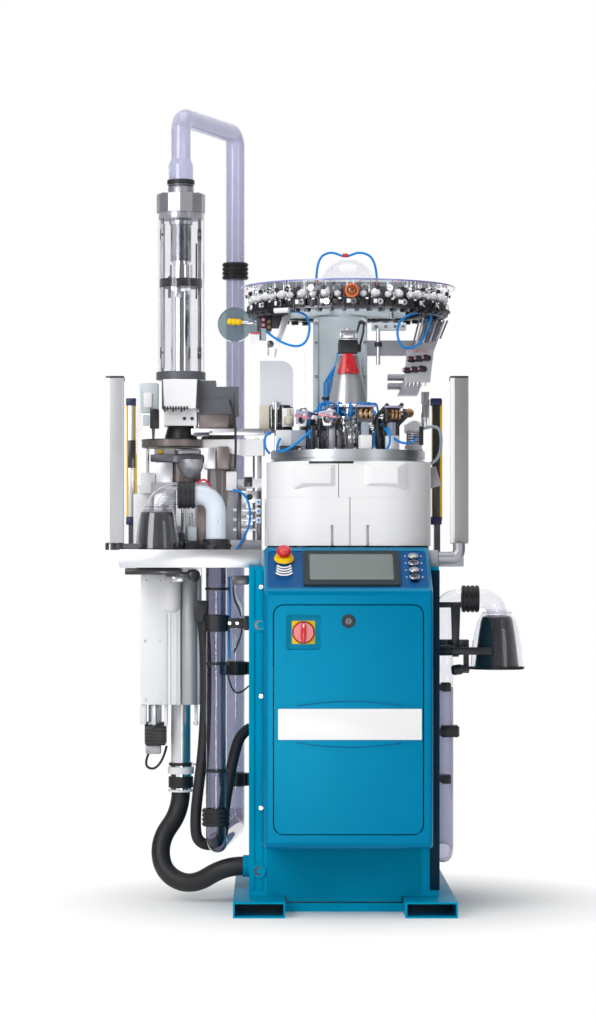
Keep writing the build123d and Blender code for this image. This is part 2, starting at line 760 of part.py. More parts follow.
def front_door():
    back = DOOR_DEPTH - HOOD_FRONT
    centre = Pos(-HOOD_OFFSET, (DOOR_LOW + door_top) / 2)
    door = front_plate(centre * RectangleRounded(DOOR_WIDTH, door_height, DOOR_ROUND), back, DOOR_DEPTH)
    inner = RectangleRounded(DOOR_WIDTH - 2 * DOOR_SKIN, door_height - 2 * DOOR_SKIN,
                             DOOR_ROUND - DOOR_SKIN)
    door -= front_plate(centre * inner, back + CUT, DOOR_DEPTH - DOOR_SKIN + CUT)
    half = DOOR_WIDTH / 2 - DISH_MARGIN
    upper = ThreePointArc((-half, DISH_END / 2), (0, DISH_MIDDLE / 2), (half, DISH_END / 2))
    lower = ThreePointArc((half, -DISH_END / 2), (0, -DISH_MIDDLE / 2), (-half, -DISH_END / 2))
    right = Line((half, DISH_END / 2), (half, -DISH_END / 2))
    left = Line((-half, -DISH_END / 2), (-half, DISH_END / 2))
    lens = Pos(-HOOD_OFFSET, DOOR_LOW + DISH_UP) * make_face([upper, right, lower, left])
    door -= front_plate(lens, DISH_DEPTH - HOOD_FRONT, DISH_DEPTH + CUT)
    x, z = pocket_place()
    cup = POCKET_SIDE + 2 * POCKET_WALL
    cup = Pos(x, z) * RectangleRounded(cup, cup, POCKET_ROUND)
    door += front_plate(cup, POCKET_DEPTH + POCKET_WALL - HOOD_FRONT,
                        POCKET_DEPTH + POCKET_WALL - DOOR_SKIN / 2)
    hollow = Pos(x, z) * RectangleRounded(POCKET_SIDE, POCKET_SIDE, POCKET_ROUND)
    door -= front_plate(hollow, POCKET_DEPTH - HOOD_FRONT, POCKET_DEPTH + CUT)
    door -= bar_along_y(x, z, SWITCH_SHAFT + FIT, -HOOD_FRONT, back + CUT)
    lock_x, lock_z = lock_place()
    door -= bar_along_y(lock_x, lock_z, LOCK_BARREL + FIT, -HOOD_FRONT - CUT, back + CUT)
    for pin in hinge_pins(HINGE_PIN, 0):
        door += pin
    return door


def switch_handle():
    x, z = pocket_place()
    floor = POCKET_DEPTH - HOOD_FRONT - SWITCH_STANDOFF
    disc = bar_along_y(x, z, SWITCH_RADIUS, floor - SWITCH_DISC, floor)
    grip = block((x - SWITCH_GRIP_WIDTH / 2, x + SWITCH_GRIP_WIDTH / 2),
                 (floor - SWITCH_DISC - SWITCH_GRIP, floor - SWITCH_DISC),
                 (z - SWITCH_RADIUS, z + SWITCH_RADIUS))
    grip = grip & bar_along_y(x, z, SWITCH_RADIUS, floor - SWITCH_DISC - SWITCH_GRIP, floor)
    shaft = bar_along_y(x, z, SWITCH_SHAFT, floor, DOOR_DEPTH - HOOD_FRONT)
    return disc + grip + shaft


def door_lock():
    x, z = lock_place()
    face = -HOOD_FRONT - FIT
    lock = bar_along_y(x, z, LOCK_RADIUS, face - LOCK_PROUD, face)
    lock += bar_along_y(x, z, LOCK_BARREL, face, face + LOCK_LENGTH)
    lock -= block((x - LOCK_SLOT / 2, x + LOCK_SLOT / 2), (face - LOCK_PROUD - CUT, face - LOCK_PROUD / 2),
                  (z - LOCK_BARREL, z + LOCK_BARREL))
    tongue = DOOR_DEPTH - HOOD_FRONT + FIT
    lock += block((x - LOCK_BARREL, x + LOCK_BARREL), (tongue, face + LOCK_LENGTH),
                  (z, z + LOCK_RADIUS + LOCK_BARREL))
    return lock


# Control desk

def button_place(index):
    """Up-slope place of a push button, counted from the top."""
    return (BUTTON_COUNT - 1) * BUTTON_SPACING / 2 - index * BUTTON_SPACING


def on_desk(x, up, radius, low, high):
    """Round piece that stands square on the sloping desk."""
    return on_slope(x, up, (low + high) / 2) * Cylinder(radius, high - low)


def control_panel():
    outline = RectangleRounded(PANEL_WIDTH - 2 * FIT, PANEL_LENGTH - 2 * FIT, PANEL_ROUND)
    panel = on_slope(0, 0, -PANEL_SINK - PANEL_THICK) * extrude(outline, PANEL_THICK)
    low = -PANEL_SINK - PANEL_THICK
    for index in range(BUTTON_COUNT):
        up = button_place(index)
        panel -= on_desk(BUTTON_RIGHT, up, BUTTON_RADIUS + FIT, low - CUT, CUT)
    panel += on_desk(-ESTOP_LEFT, ESTOP_UP, ESTOP_COLLAR, low, ESTOP_COLLAR_HEIGHT - PANEL_SINK)
    panel -= on_desk(-ESTOP_LEFT, ESTOP_UP, ESTOP_STEM + FIT, low - CUT, ESTOP_COLLAR_HEIGHT + CUT)
    return panel


def display():
    outline = RectangleRounded(DISPLAY_WIDTH, DISPLAY_LENGTH, DISPLAY_ROUND)
    body = on_slope(DISPLAY_SHIFT, 0, -PANEL_SINK) * extrude(outline, DISPLAY_HEIGHT)
    screen = on_slope(DISPLAY_SHIFT, 0, DISPLAY_HEIGHT - PANEL_SINK)
    return body - screen * Box(SCREEN_WIDTH, SCREEN_LENGTH, 2 * SCREEN_SINK)


def push_button(index):
    top = BUTTON_PROUD - PANEL_SINK
    return on_desk(BUTTON_RIGHT, button_place(index), BUTTON_RADIUS, -PANEL_SINK - BUTTON_DEPTH, top)


def estop_button():
    head = ESTOP_COLLAR_HEIGHT - PANEL_SINK + ESTOP_GAP
    button = on_desk(-ESTOP_LEFT, ESTOP_UP, ESTOP_STEM, -PANEL_SINK - ESTOP_DEPTH, head)
    return button + on_desk(-ESTOP_LEFT, ESTOP_UP, ESTOP_HEAD, head, head + ESTOP_HEAD_HEIGHT)


# Knitting head

def bed_base():
    base = block((cabinet_left, cabinet_right), (-BASE_FRONT, cabinet_back), (cabinet_top, base_top))
    bore = CYLINDER_RADIUS - CYLINDER_WALL
    base -= post(0, 0, bore, cabinet_top - CUT, base_top + CUT)
    corner = COLUMN_CIRCLE * cos(radians(45))
    columns = [post(sx * corner, sy * corner, COLUMN_RADIUS, base_top, bed_low) for sx in (-1, 1)
               for sy in (-1, 1)]
    return group(base, *columns)


def bed_plate():
    plate = pipe(0, 0, BED_RADIUS, CYLINDER_RADIUS + FIT, bed_low, bed_top)
    groove = pipe(0, 0, BED_RADIUS + CUT, BED_RADIUS - BED_GROOVE, bed_low + BED_GROOVE,
                  bed_low + 2 * BED_GROOVE)
    return plate - groove


def needle_cylinder():
    inner = CYLINDER_RADIUS - CYLINDER_WALL
    rim = pulley_low + PULLEY_HEIGHT
    body = turned([(inner, pulley_low), (PULLEY_RADIUS, pulley_low), (PULLEY_RADIUS, rim),
                   (CYLINDER_RADIUS, rim), (CYLINDER_RADIUS, cylinder_top), (inner, cylinder_top)])
    slot = Box(2 * NEEDLE_SLOT_DEPTH, NEEDLE_SLOT, 2 * NEEDLE_SLOT_LENGTH)
    return body - [Pos(0, 0, cylinder_top) * place * slot
                   for place in PolarLocations(CYLINDER_RADIUS, NEEDLE_COUNT)]


def cam_ring():
    bore = CYLINDER_RADIUS + FIT
    step = bed_top + CAM_HEIGHT - CAM_STEP
    return pipe(0, 0, CAM_RADIUS, bore, bed_top, step) + pipe(0, 0, CAM_RADIUS - CAM_STEP, bore, step,
                                                              step + CAM_STEP)


def main_motor():
    top = pulley_low - MOTOR_GAP
    return post(-MOTOR_OFFSET, 0, MOTOR_RADIUS, base_top, top)


def motor_pulley():
    top = pulley_low - MOTOR_GAP + FIT
    pulley = post(-MOTOR_OFFSET, 0, MOTOR_SHAFT, top, pulley_low)
    return pulley + post(-MOTOR_OFFSET, 0, MOTOR_PULLEY, pulley_low, pulley_low + PULLEY_HEIGHT)


def belt_outline(gap):
    """Loop around both pulleys at a distance from them."""
    large = Circle(PULLEY_RADIUS + gap)
    small = Pos(-MOTOR_OFFSET, 0) * Circle(MOTOR_PULLEY + gap)
    return make_hull(large.edges() + small.edges())


def drive_belt():
    margin = PULLEY_HEIGHT * BELT_MARGIN_SHARE
    belt = belt_outline(FIT + BELT_THICKNESS) - belt_outline(FIT)
    return raised(belt, pulley_low + margin, pulley_low + PULLEY_HEIGHT - margin)


def skirt_plan(inset):
    """Rounded outline of the skirt in plan."""
    return RectangleRounded(SKIRT_WIDTH - 2 * inset, SKIRT_DEPTH - 2 * inset, SKIRT_ROUND - inset)


def skirt_upper():
    split = base_top + SKIRT_SPLIT
    skirt = raised(skirt_plan(0), split, bed_low)
    mid = (split + bed_low) / 2
    for side in (-1, 1):
        boss = Rectangle(SKIRT_BOSS_WIDTH, (bed_low - split) * SKIRT_BOSS_SHARE)
        boss = extrude(boss, SKIRT_BOSS_PROUD + SKIRT_ROUND, taper=SKIRT_BOSS_TAPER / 2)
        skirt += Pos(side * SKIRT_BOSS_SPREAD, SKIRT_ROUND - SKIRT_DEPTH / 2, mid) * Rot(90, 0, 0) * boss
    skirt -= raised(skirt_plan(SKIRT_WALL), split - CUT, bed_low - SKIRT_WALL)
    skirt -= post(0, 0, SKIRT_DECK_HOLE, bed_low - SKIRT_WALL - CUT, bed_low + CUT)
    rear = raised(skirt_plan(0) - skirt_plan(SKIRT_WALL), base_top, split)
    rear -= block((-SKIRT_WIDTH, SKIRT_WIDTH), (-SKIRT_DEPTH, SKIRT_HINGE_BACK + SKIRT_KNUCKLE + FIT),
                  (base_top - CUT, split))
    return skirt + rear


def skirt_door(side):
    low = base_top + SKIRT_FLOOR_GAP
    high = base_top + SKIRT_SPLIT - FIT
    door = raised(skirt_plan(0) - skirt_plan(SKIRT_WALL), low, high)
    outer = sorted((side * SKIRT_GAP / 2, side * SKIRT_WIDTH))
    door = door & block(outer, (-SKIRT_DEPTH, SKIRT_HINGE_BACK - SKIRT_GAP), (low - CUT, high + CUT))
    door += post(side * SKIRT_WIDTH / 2, SKIRT_HINGE_BACK, SKIRT_KNUCKLE, low, high)
    slot = side * FINGER_SLOT_OFFSET
    door -= block((slot - FINGER_SLOT_WIDTH / 2, slot + FINGER_SLOT_WIDTH / 2), (-SKIRT_DEPTH, 0),
                  (low - CUT, low + FINGER_SLOT_HEIGHT))
    return door


# Dial head and mast

def dial():
    return post(0, 0, DIAL_RADIUS, dial_low, dial_top) + post(0, 0, DIAL_SHAFT, dial_top,
                                                              cone_top - CONE_RIM)


def cone_radius(level):
    """Outer radius of the dial housing at a level."""
    share = (level - cone_low) / CONE_HEIGHT
    return CONE_LOW_RADIUS + (CONE_TOP_RADIUS - CONE_LOW_RADIUS) * share


def dial_housing():
    bore = DIAL_SHAFT + FIT
    ledge = cone_low + CONE_RIM
    housing = turned([(bore, cone_low), (CONE_LOW_RADIUS, cone_low), (CONE_LOW_RADIUS, ledge),
                      (cone_radius(ledge), ledge), (CONE_TOP_RADIUS, cone_top), (bore, cone_top)])
    arm_top = cone_top - DIAL_ARM_TOP_GAP
    arm = block((-DIAL_ARM_WIDTH / 2, DIAL_ARM_WIDTH / 2), (bore, MAST_FRONT - FIT),
                (arm_top - DIAL_ARM_HEIGHT, arm_top))
    return housing + arm


def dial_motor():
    body = RectangleRounded(DIAL_MOTOR_SIDE, DIAL_MOTOR_SIDE, DIAL_MOTOR_ROUND)
    cap = RectangleRounded(DIAL_CAP_SIDE, DIAL_CAP_SIDE, DIAL_MOTOR_ROUND)
    cap_low = cone_top + DIAL_MOTOR_HEIGHT
    return raised(body, cone_top, cap_low) + raised(cap, cap_low, cap_low + DIAL_CAP_HEIGHT)


def dial_guard():
    high = cone_top - GUARD_TOP_GAP
    low = high - GUARD_HEIGHT
    inner = cone_radius(low) + FIT
    profile = make_face(Polyline((inner, 0, low), (inner + GUARD_WALL, 0, low),
                                 (inner + GUARD_WALL, 0, high),
                                 (inner, 0, high), close=True))
    return Rot(0, 0, -90 - GUARD_SWEEP / 2) * revolve(profile, Axis.Z, GUARD_SWEEP)


def mast():
    middle = Pos(-MAST_OFFSET, MAST_FRONT + MAST_DEPTH / 2)
    section = RectangleRounded(MAST_WIDTH, MAST_DEPTH, MAST_ROUND)
    section -= RectangleRounded(MAST_WIDTH - 2 * MAST_WALL, MAST_DEPTH - 2 * MAST_WALL,
                                MAST_ROUND - MAST_WALL)
    column = raised(middle * section, bed_top, mast_top)
    middle_y = MAST_FRONT + MAST_DEPTH / 2
    arm = block((-ARM_HALF_LENGTH, ARM_HALF_LENGTH), (middle_y - ARM_DEPTH / 2, middle_y + ARM_DEPTH / 2),
                (mast_top, mast_top + ARM_HEIGHT))
    return column + arm


# Yarn ring above the head

def yarn_ring():
    ring = pipe(0, 0, RING_OUTER, RING_INNER, ring_low, ring_top)
    feeder = Box(FEEDER_LENGTH, FEEDER_WIDTH, FEEDER_HEIGHT)
    height = Pos(0, 0, ring_top + FEEDER_HEIGHT / 2)
    ring += [height * place * feeder for place in PolarLocations(FEEDER_RING_RADIUS, FEEDER_COUNT)]
    pillar = extrude(RegularPolygon(PILLAR_RADIUS, PILLAR_SIDES), DISC_RISE)
    turn = Pos(0, 0, ring_top) * Rot(0, 0, PILLAR_TURN)
    ring += [turn * place * pillar for place in PolarLocations(PILLAR_RING_RADIUS, PILLAR_COUNT)]
    return ring


def yarn_guides():
    wide = RegularPolygon(GUIDE_RADIUS, GUIDE_SIDES, major_radius=False, rotation=180 / GUIDE_SIDES)
    eye = Rot(0, 90, 0) * extrude(wide, GUIDE_LENGTH, taper=GUIDE_TAPER)
    eye = Pos(-GUIDE_LENGTH / 2, 0, ring_top + FEEDER_HEIGHT + GUIDE_RADIUS) * eye
    return group(*[place * eye for place in PolarLocations(FEEDER_RING_RADIUS, FEEDER_COUNT)])


def dome_solid(radius, low):
    """Dome of flat panes: a leaning band under a flatter crown."""
    shoulder = radius * DOME_SHOULDER_SHARE
    lean = degrees(atan2(radius - shoulder, shoulder))
    band = Pos(0, 0, low) * extrude(RegularPolygon(radius, DOME_SIDES), shoulder, taper=lean)
    crown = extrude(band.faces().sort_by(Axis.Z)[-1], radius - shoulder, taper=90 - DOME_CROWN_SLOPE)
    return band + crown


def ring_disc():
    disc_top = disc_low + DISC_THICKNESS
    disc = post(0, 0, DISC_RADIUS, disc_low, disc_top)
    dome = dome_solid(DOME_RADIUS, disc_top) - dome_solid(DOME_RADIUS - DOME_WALL, disc_top)
    return group(disc, dome)


def yarn_lamp():
    large = Circle(LAMP_RADIUS)
    small = Pos(LAMP_SPREAD, 0) * Circle(LAMP_SMALL_RADIUS)
    level = ring_low - LAMP_DROP
    place = Pos(-LAMP_LEFT, level)
    guard = front_plate(place * (large + small), LAMP_DEPTH - LAMP_FRONT, LAMP_DEPTH)
    inner = Circle(LAMP_RADIUS - LAMP_WALL) + Pos(LAMP_SPREAD, 0) * Circle(LAMP_SMALL_RADIUS - LAMP_WALL)
    guard -= front_plate(place * inner, LAMP_DEPTH - LAMP_FRONT + CUT, LAMP_DEPTH - LAMP_WALL + CUT)
    x = LAMP_SPREAD - LAMP_LEFT
    hanger = block((x - HANGER_WIDTH / 2, x + HANGER_WIDTH / 2), (-LAMP_FRONT, LAMP_DEPTH - LAMP_FRONT),
                   (level + LAMP_SMALL_RADIUS - LAMP_WALL, ring_low))
    return guard + hanger


def finger_magazine():
    mast_right = MAST_WIDTH / 2 - MAST_OFFSET
    arm_top = ring_low - MAGAZINE_ARM_DROP
    arm_end = mast_right + MAGAZINE_ARM_LENGTH
    arm = block((mast_right, arm_end + MAGAZINE_LEAN / 2),
                (MAST_FRONT + MAST_ROUND, MAST_FRONT + MAST_ROUND + MAGAZINE_ARM_DEPTH),
                (arm_top - MAGAZINE_ARM_HEIGHT, arm_top))
    low = arm_top + MAGAZINE_RISE - MAGAZINE_HEIGHT
    lean = MAGAZINE_LEAN
    side = make_face(Polyline(
        (arm_end - lean / 2, low), (arm_end - lean / 2 + MAGAZINE_WIDTH, low),
        (arm_end + lean / 2 + MAGAZINE_WIDTH, low + MAGAZINE_HEIGHT), (arm_end + lean / 2,
                                                                       low + MAGAZINE_HEIGHT),
        close=True))
    back = MAST_FRONT + MAST_ROUND + MAGAZINE_ARM_DEPTH
    body = front_plate(side, back, MAGAZINE_DEPTH)
    pitch = MAGAZINE_DEPTH / MAGAZINE_SLOTS
    reach = arm_end + MAGAZINE_WIDTH * MAGAZINE_SLOT_SHARE
    for index in range(1, MAGAZINE_SLOTS):
        y = back - index * pitch
        body -= block((reach, reach + lean + MAGAZINE_WIDTH),
                      (y - MAGAZINE_SLOT / 2, y + MAGAZINE_SLOT / 2),
                      (low - CUT, low + MAGAZINE_HEIGHT + CUT))
    body += arm
    for row in range(YARN_FINGER_ROWS):
        for index in range(YARN_FINGERS):
            y = back - YARN_FINGER_PITCH * (index + 1)
            z = low + YARN_FINGER_PITCH * (row + 1)
            body += bar_along_x(y, z, YARN_FINGER_RADIUS, arm_end - lean / 2 - YARN_FINGER_LENGTH, arm_end)
    return body


# Units on the bed plate

def finger_units():
    foot = block((-UNIT_BASE / 2, UNIT_BASE / 2), (-UNIT_BASE / 2, UNIT_BASE / 2), (0, UNIT_BASE_HEIGHT))
    plate = block((UNIT_BASE / 2 - UNIT_PLATE, UNIT_BASE / 2), (-UNIT_BASE / 2, UNIT_BASE / 2),
                  (0, UNIT_HEIGHT))
    motor = block((UNIT_BASE / 2, UNIT_BASE / 2 + UNIT_MOTOR_LENGTH), (-UNIT_MOTOR / 2, UNIT_MOTOR / 2),
                  (UNIT_HEIGHT - UNIT_MOTOR, UNIT_HEIGHT))
    unit = Pos(UNIT_CIRCLE, 0, bed_top) * (foot + plate + motor)
    return group(*[Rot(0, 0, angle) * unit for angle in UNIT_ANGLES])


def bed_boxes():
    cap = VALVE_HEIGHT * VALVE_CAP_SHARE
    neck = VALVE_SIDE * VALVE_NECK_SHARE
    valve = block((-VALVE_SIDE / 2, VALVE_SIDE / 2), (-VALVE_SIDE / 2, VALVE_SIDE / 2),
                  (VALVE_HEIGHT - cap, VALVE_HEIGHT))
    valve += block((-neck / 2, neck / 2), (-neck / 2, neck / 2), (0, VALVE_HEIGHT - cap))
    valve = Pos(VALVE_CIRCLE, 0, bed_top) * valve
    selector = block((-SELECTOR_RIGHT - SELECTOR_WIDTH, -SELECTOR_RIGHT),
                     (-SELECTOR_BACK - SELECTOR_DEPTH, -SELECTOR_BACK),
                     (bed_top, bed_top + SELECTOR_HEIGHT))
    return group(selector, *[Rot(0, 0, angle) * valve for angle in VALVE_ANGLES])


def side_motor_cover():
    left = -SIDE_COVER_RIGHT - SIDE_COVER_WIDTH
    back = SIDE_COVER_FRONT + SIDE_COVER_DEPTH
    motor_low = bed_top + SIDE_STAND_HEIGHT
    low = motor_low + SIDE_MOTOR_HEIGHT
    cover = block((left, -SIDE_COVER_RIGHT), (SIDE_COVER_FRONT, back), (low, low + SIDE_COVER_HEIGHT))
    shoulder = cover.edges().filter_by(Axis.Y).group_by(Axis.Z)[-1].sort_by(Axis.X)[-1]
    cover = fillet(shoulder, SIDE_COVER_ROUND)
    inset = SIDE_MOTOR_MARGIN
    motor = block((left + inset, left + inset + SIDE_MOTOR_WIDTH), (SIDE_COVER_FRONT + inset, back - inset),
                  (motor_low, low))
    stand = block((-SIDE_COVER_RIGHT - 2 * SIDE_STAND, -SIDE_COVER_RIGHT - SIDE_STAND),
                  (SIDE_COVER_FRONT + inset, SIDE_COVER_FRONT + inset + SIDE_STAND), (bed_top, motor_low))
    return cover + motor + stand


# Side table and light barrier

def flap_lugs(x, y, pin_level, top):
    """Two lugs that carry a flap's pin."""
    lugs = []
    for side in (-1, 1):
        inner = y + side * (FLAP_ARM + FIT)
        faces = sorted((inner, inner + side * LUG_THICKNESS))
        lug = block((x - FLAP_KNUCKLE, x + FLAP_KNUCKLE), faces, (pin_level - FLAP_KNUCKLE, top))
        lugs.append(lug - bar_along_y(x, pin_level, FLAP_PIN + FIT, faces[0] - CUT, faces[1] + CUT))
    return lugs


def table():
    top = base_top - TABLE_WALL
    tray = block((table_left, cabinet_left), (-TABLE_FRONT, cabinet_back), (cabinet_top, base_top))
    tray -= block((table_left + TABLE_WALL, cabinet_left - TABLE_WALL),
                  (TABLE_WALL - TABLE_FRONT, cabinet_back - TABLE_WALL),
                  (cabinet_top - CUT, top))
    for x, y, radius in ((toe_x, toe_y, LOWER_TUBE_RADIUS), (drop_x, drop_y, TUBE_RADIUS),
                         (left_bell_x, drop_y, LEFT_NECK_RADIUS)):
        tray -= post(x, y, radius + FIT, top - CUT, base_top + CUT)
    for lug in flap_lugs(left_hinge_x, drop_y, left_flap_top - FLAP_KNUCKLE, top):
        tray += lug
    return tray


def mirror_posts():
    low = base_top + POST_FOOT
    high = low + POST_HEIGHT
    solids = []
    for x, turn in ((-POST_LEFT, -POST_TURN), (POST_RIGHT, POST_TURN)):
        column = extrude(Rectangle(POST_SIDE, POST_SIDE), POST_HEIGHT)
        cap = POST_SIDE + 2 * POST_CAP_MARGIN
        column += Pos(0, 0, POST_HEIGHT) * extrude(Rectangle(cap, cap), POST_CAP)
        solids.append(Pos(x, -POST_FRONT, low) * Rot(0, 0, turn) * column)
    half = POST_ARM / 2
    depth = (-POST_FRONT - half, -POST_FRONT + half)
    solids.append(block((-POST_LEFT - half, table_left + 2 * POST_ARM), depth, (base_top, low)))
    arm = block((cabinet_right, POST_RIGHT + half), depth, (cabinet_top, cabinet_top + POST_ARM))
    arm += block((POST_RIGHT - half, POST_RIGHT + half), depth, (cabinet_top + POST_ARM, low))
    solids.append(arm)
    return group(*solids)


def light_curtains():
    low = base_top + BAR_LEG
    sticks = []
    leg = BAR_WIDTH * BAR_LEG_SHARE / 2
    for x in (-BAR_LEFT, BAR_RIGHT):
        stick = block((x - BAR_WIDTH / 2, x + BAR_WIDTH / 2), (BAR_BACK, BAR_BACK + BAR_DEPTH),
                      (low, low + BAR_HEIGHT))
        foot = base_top if x < 0 else cabinet_top
        stick += block((x - leg, x + leg), (BAR_BACK, BAR_BACK + BAR_DEPTH), (foot, low))
        sticks.append(stick)
    bracket = block((cabinet_right, BAR_RIGHT - leg), (BAR_BACK, BAR_BACK + BAR_DEPTH),
                    (cabinet_top, base_top))
    return group(sticks[0], sticks[1] + bracket)


# Toe closing unit

def toe_pedestal():
    half = PEDESTAL_WIDTH / 2
    body = block((toe_x - half, toe_x + half), (toe_y - PEDESTAL_DEPTH / 2, toe_y + PEDESTAL_DEPTH / 2),
                 (base_top, pedestal_top))
    body += post(toe_x, toe_y, BOWL_RADIUS, pedestal_top, link_low - FIT)
    return body - post(toe_x, toe_y, LOWER_TUBE_RADIUS + FIT, base_top - CUT, link_low + CUT)


def linking_dial():
    hub_low = link_low
    plate = post(0, 0, LINK_RADIUS, hub_low, hub_low + LINK_THICKNESS) - post(0, 0, LINK_HUB, hub_low - CUT,
                                                                              hub_low + LINK_THICKNESS + CUT)
    return Pos(toe_x, toe_y, 0) * plate


def toe_column():
    left = -TOE_COLUMN_RIGHT - TOE_COLUMN_WIDTH
    depth = (TOE_COLUMN_BACK, TOE_COLUMN_BACK + TOE_COLUMN_DEPTH)
    column = block((left, -TOE_COLUMN_RIGHT), depth, (base_top, toe_box_low))
    middle = left + TOE_COLUMN_WIDTH / 2
    column -= block((middle - COLUMN_GROOVE / 2, middle + COLUMN_GROOVE / 2),
                    (TOE_COLUMN_BACK - CUT, TOE_COLUMN_BACK + COLUMN_GROOVE),
                    (base_top + COLUMN_GROOVE, toe_box_low - COLUMN_GROOVE))
    tie_top = toe_box_low - TIE_DROP
    tie = block((left, -TIE_RIGHT), (TIE_FRONT, TIE_FRONT + TIE_DEPTH), (tie_top - TIE_HEIGHT, tie_top))
    tie += block((left, left + TIE_DEPTH), (TIE_FRONT, TOE_COLUMN_BACK), (tie_top - TIE_HEIGHT, tie_top))
    return column + tie + toe_pedestal()


def transfer_frame():
    left = -FRAME_RIGHT - FRAME_WIDTH
    back = FRAME_FRONT + FRAME_DEPTH
    head = pickup_low - ARM_ROOT_DROP - FIT
    neck = head - FRAME_HEAD
    frame = block((left, -FRAME_RIGHT), (FRAME_FRONT, back), (neck, neck + FRAME_LEG))
    frame += block((left, -FRAME_RIGHT), (FRAME_FRONT, back), (base_top, base_top + FRAME_LEG))
    for x in (left, -FRAME_RIGHT - FRAME_LEG):
        frame += block((x, x + FRAME_LEG), (FRAME_FRONT, back), (base_top + FRAME_LEG, neck))
    pitch = (neck - base_top - FRAME_LEG) / (FRAME_BARS + 1)
    for index in range(FRAME_BARS):
        z = base_top + FRAME_LEG + pitch * (index + 1)
        frame += block((left, -FRAME_RIGHT), (FRAME_FRONT + FRAME_BAR, FRAME_FRONT + 2 * FRAME_BAR),
                       (z, z + FRAME_BAR))
    post_foot = block((-PIVOT_LEFT - PIVOT_RADIUS, -PIVOT_LEFT + PIVOT_RADIUS),
                      (PIVOT_BACK - PIVOT_RADIUS, FRAME_FRONT),
                      (neck, neck + FRAME_LEG))
    frame += post_foot + post(-PIVOT_LEFT, PIVOT_BACK, PIVOT_RADIUS, base_top, head)
    return frame + post(-PIVOT_LEFT, PIVOT_BACK, PIVOT_PIN, head, pickup_top)


def transfer_arm():
    reach = hypot(pickup_x + PIVOT_LEFT, toe_y - PIVOT_BACK)
    turn = degrees(atan2(toe_y - PIVOT_BACK, pickup_x + PIVOT_LEFT))
    ring = pipe(reach, 0, PICKUP_RADIUS, PICKUP_HOLE, pickup_low, pickup_top)
    root_low = pickup_low - ARM_ROOT_DROP
    inner = reach - PICKUP_RADIUS + PIVOT_RADIUS
    side = make_face(Polyline((-ARM_ROOT_WIDTH / 2, root_low), (ARM_ROOT_WIDTH, root_low),
                              (inner, pickup_low),
                              (inner, pickup_top), (-ARM_ROOT_WIDTH / 2, pickup_top), close=True))
    plan = make_face(Polyline((-ARM_ROOT_WIDTH / 2, -ARM_ROOT_WIDTH / 2), (inner, -ARM_TIP_WIDTH / 2),
                              (inner, ARM_TIP_WIDTH / 2), (-ARM_ROOT_WIDTH / 2,
                                                           ARM_ROOT_WIDTH / 2), close=True))
    arm = front_plate(side, ARM_ROOT_WIDTH, 2 * ARM_ROOT_WIDTH) & raised(plan, root_low, pickup_top)
    arm += ring
    arm -= post(0, 0, PIVOT_PIN + FIT, root_low - CUT, pickup_top + CUT)
    return Pos(-PIVOT_LEFT, PIVOT_BACK, 0) * Rot(0, 0, turn) * arm


def toe_motor_box():
    left = toe_x + TOE_BODY_WIDTH / 2
    depth = (TOE_BOX_FRONT, TOE_BOX_FRONT + TOE_BOX_DEPTH)
    top = toe_box_low + TOE_BOX_HEIGHT
    box = block((left, left + TOE_BOX_WIDTH), depth, (toe_box_low, top))
    return box + block((left, left + TOE_BOX_WIDTH * TOE_BOX_STEP_SHARE), depth, (top, top + TOE_BOX_STEP))


def toe_base():
    half = TOE_BODY_WIDTH / 2
    body = block((toe_x - half, toe_x + half), (toe_y - TOE_BODY_DEPTH / 2, toe_y + TOE_BODY_DEPTH / 2),
                 (toe_body_low, toe_body_top))
    body += post(toe_x, toe_y, GUARD_RADIUS, toe_body_top, guard_low)
    turret = Pos(toe_x, toe_y, (turret_low + block_low) / 2) * Cone(TURRET_LOW_RADIUS, TURRET_TOP_RADIUS,
                                                                    TURRET_HEIGHT)
    bore = post(toe_x, toe_y, TOE_BORE, turret_low - CUT, guard_low + CUT)
    return group(body - bore, turret - bore)


def toe_cover():
    front = toe_y - TOE_BODY_DEPTH / 2
    half = TOE_COVER_WIDTH / 2
    face = make_face(Polyline((toe_x - half, toe_body_top), (toe_x + half, toe_body_top),
                              (toe_x + half - TOE_COVER_TAPER,
                               toe_body_low), (toe_x - half + TOE_COVER_TAPER, toe_body_low), close=True))
    cover = front_plate(face, front, TOE_COVER_DEPTH)
    half = TOE_BLOCK_WIDTH / 2
    base = block((toe_x - half, toe_x + half), (toe_y - TOE_BLOCK_DEPTH / 2, toe_y + TOE_BLOCK_DEPTH / 2),
                 (block_low, toe_body_low))
    return group(cover, base - post(toe_x, toe_y, TOE_BORE, block_low - CUT, toe_body_low + CUT))


def toe_guard():
    return pipe(toe_x, toe_y, GUARD_RADIUS, GUARD_RADIUS - GUARD_TUBE_WALL, guard_low, guard_top)


def toe_cap():
    cap = raised(RegularPolygon(GUARD_RADIUS, CAP_SIDES, major_radius=False), guard_top, cap_top)
    cap += post(0, 0, GUARD_RADIUS - GUARD_TUBE_WALL - FIT, guard_top - CAP_LIP, guard_top)
    cap += post(0, 0, SPIGOT_RADIUS, cap_top, spigot_top)
    bore = SOCK_TUBE_RADIUS - SOCK_TUBE_WALL
    cap -= post(0, 0, bore, guard_top - CAP_LIP - CUT, spigot_top + CUT)
    lip_low = guard_top - CAP_LIP
    fixed = pipe(0, 0, SOCK_TUBE_RADIUS, bore, lip_low - SOCK_TUBE_FIXED, lip_low)
    rods = [post(side * ROD_SPREAD, 0, ROD_RADIUS, guard_low, lip_low) for side in (-1, 1)]
    return Pos(toe_x, toe_y, 0) * group(cap, fixed, *rods)


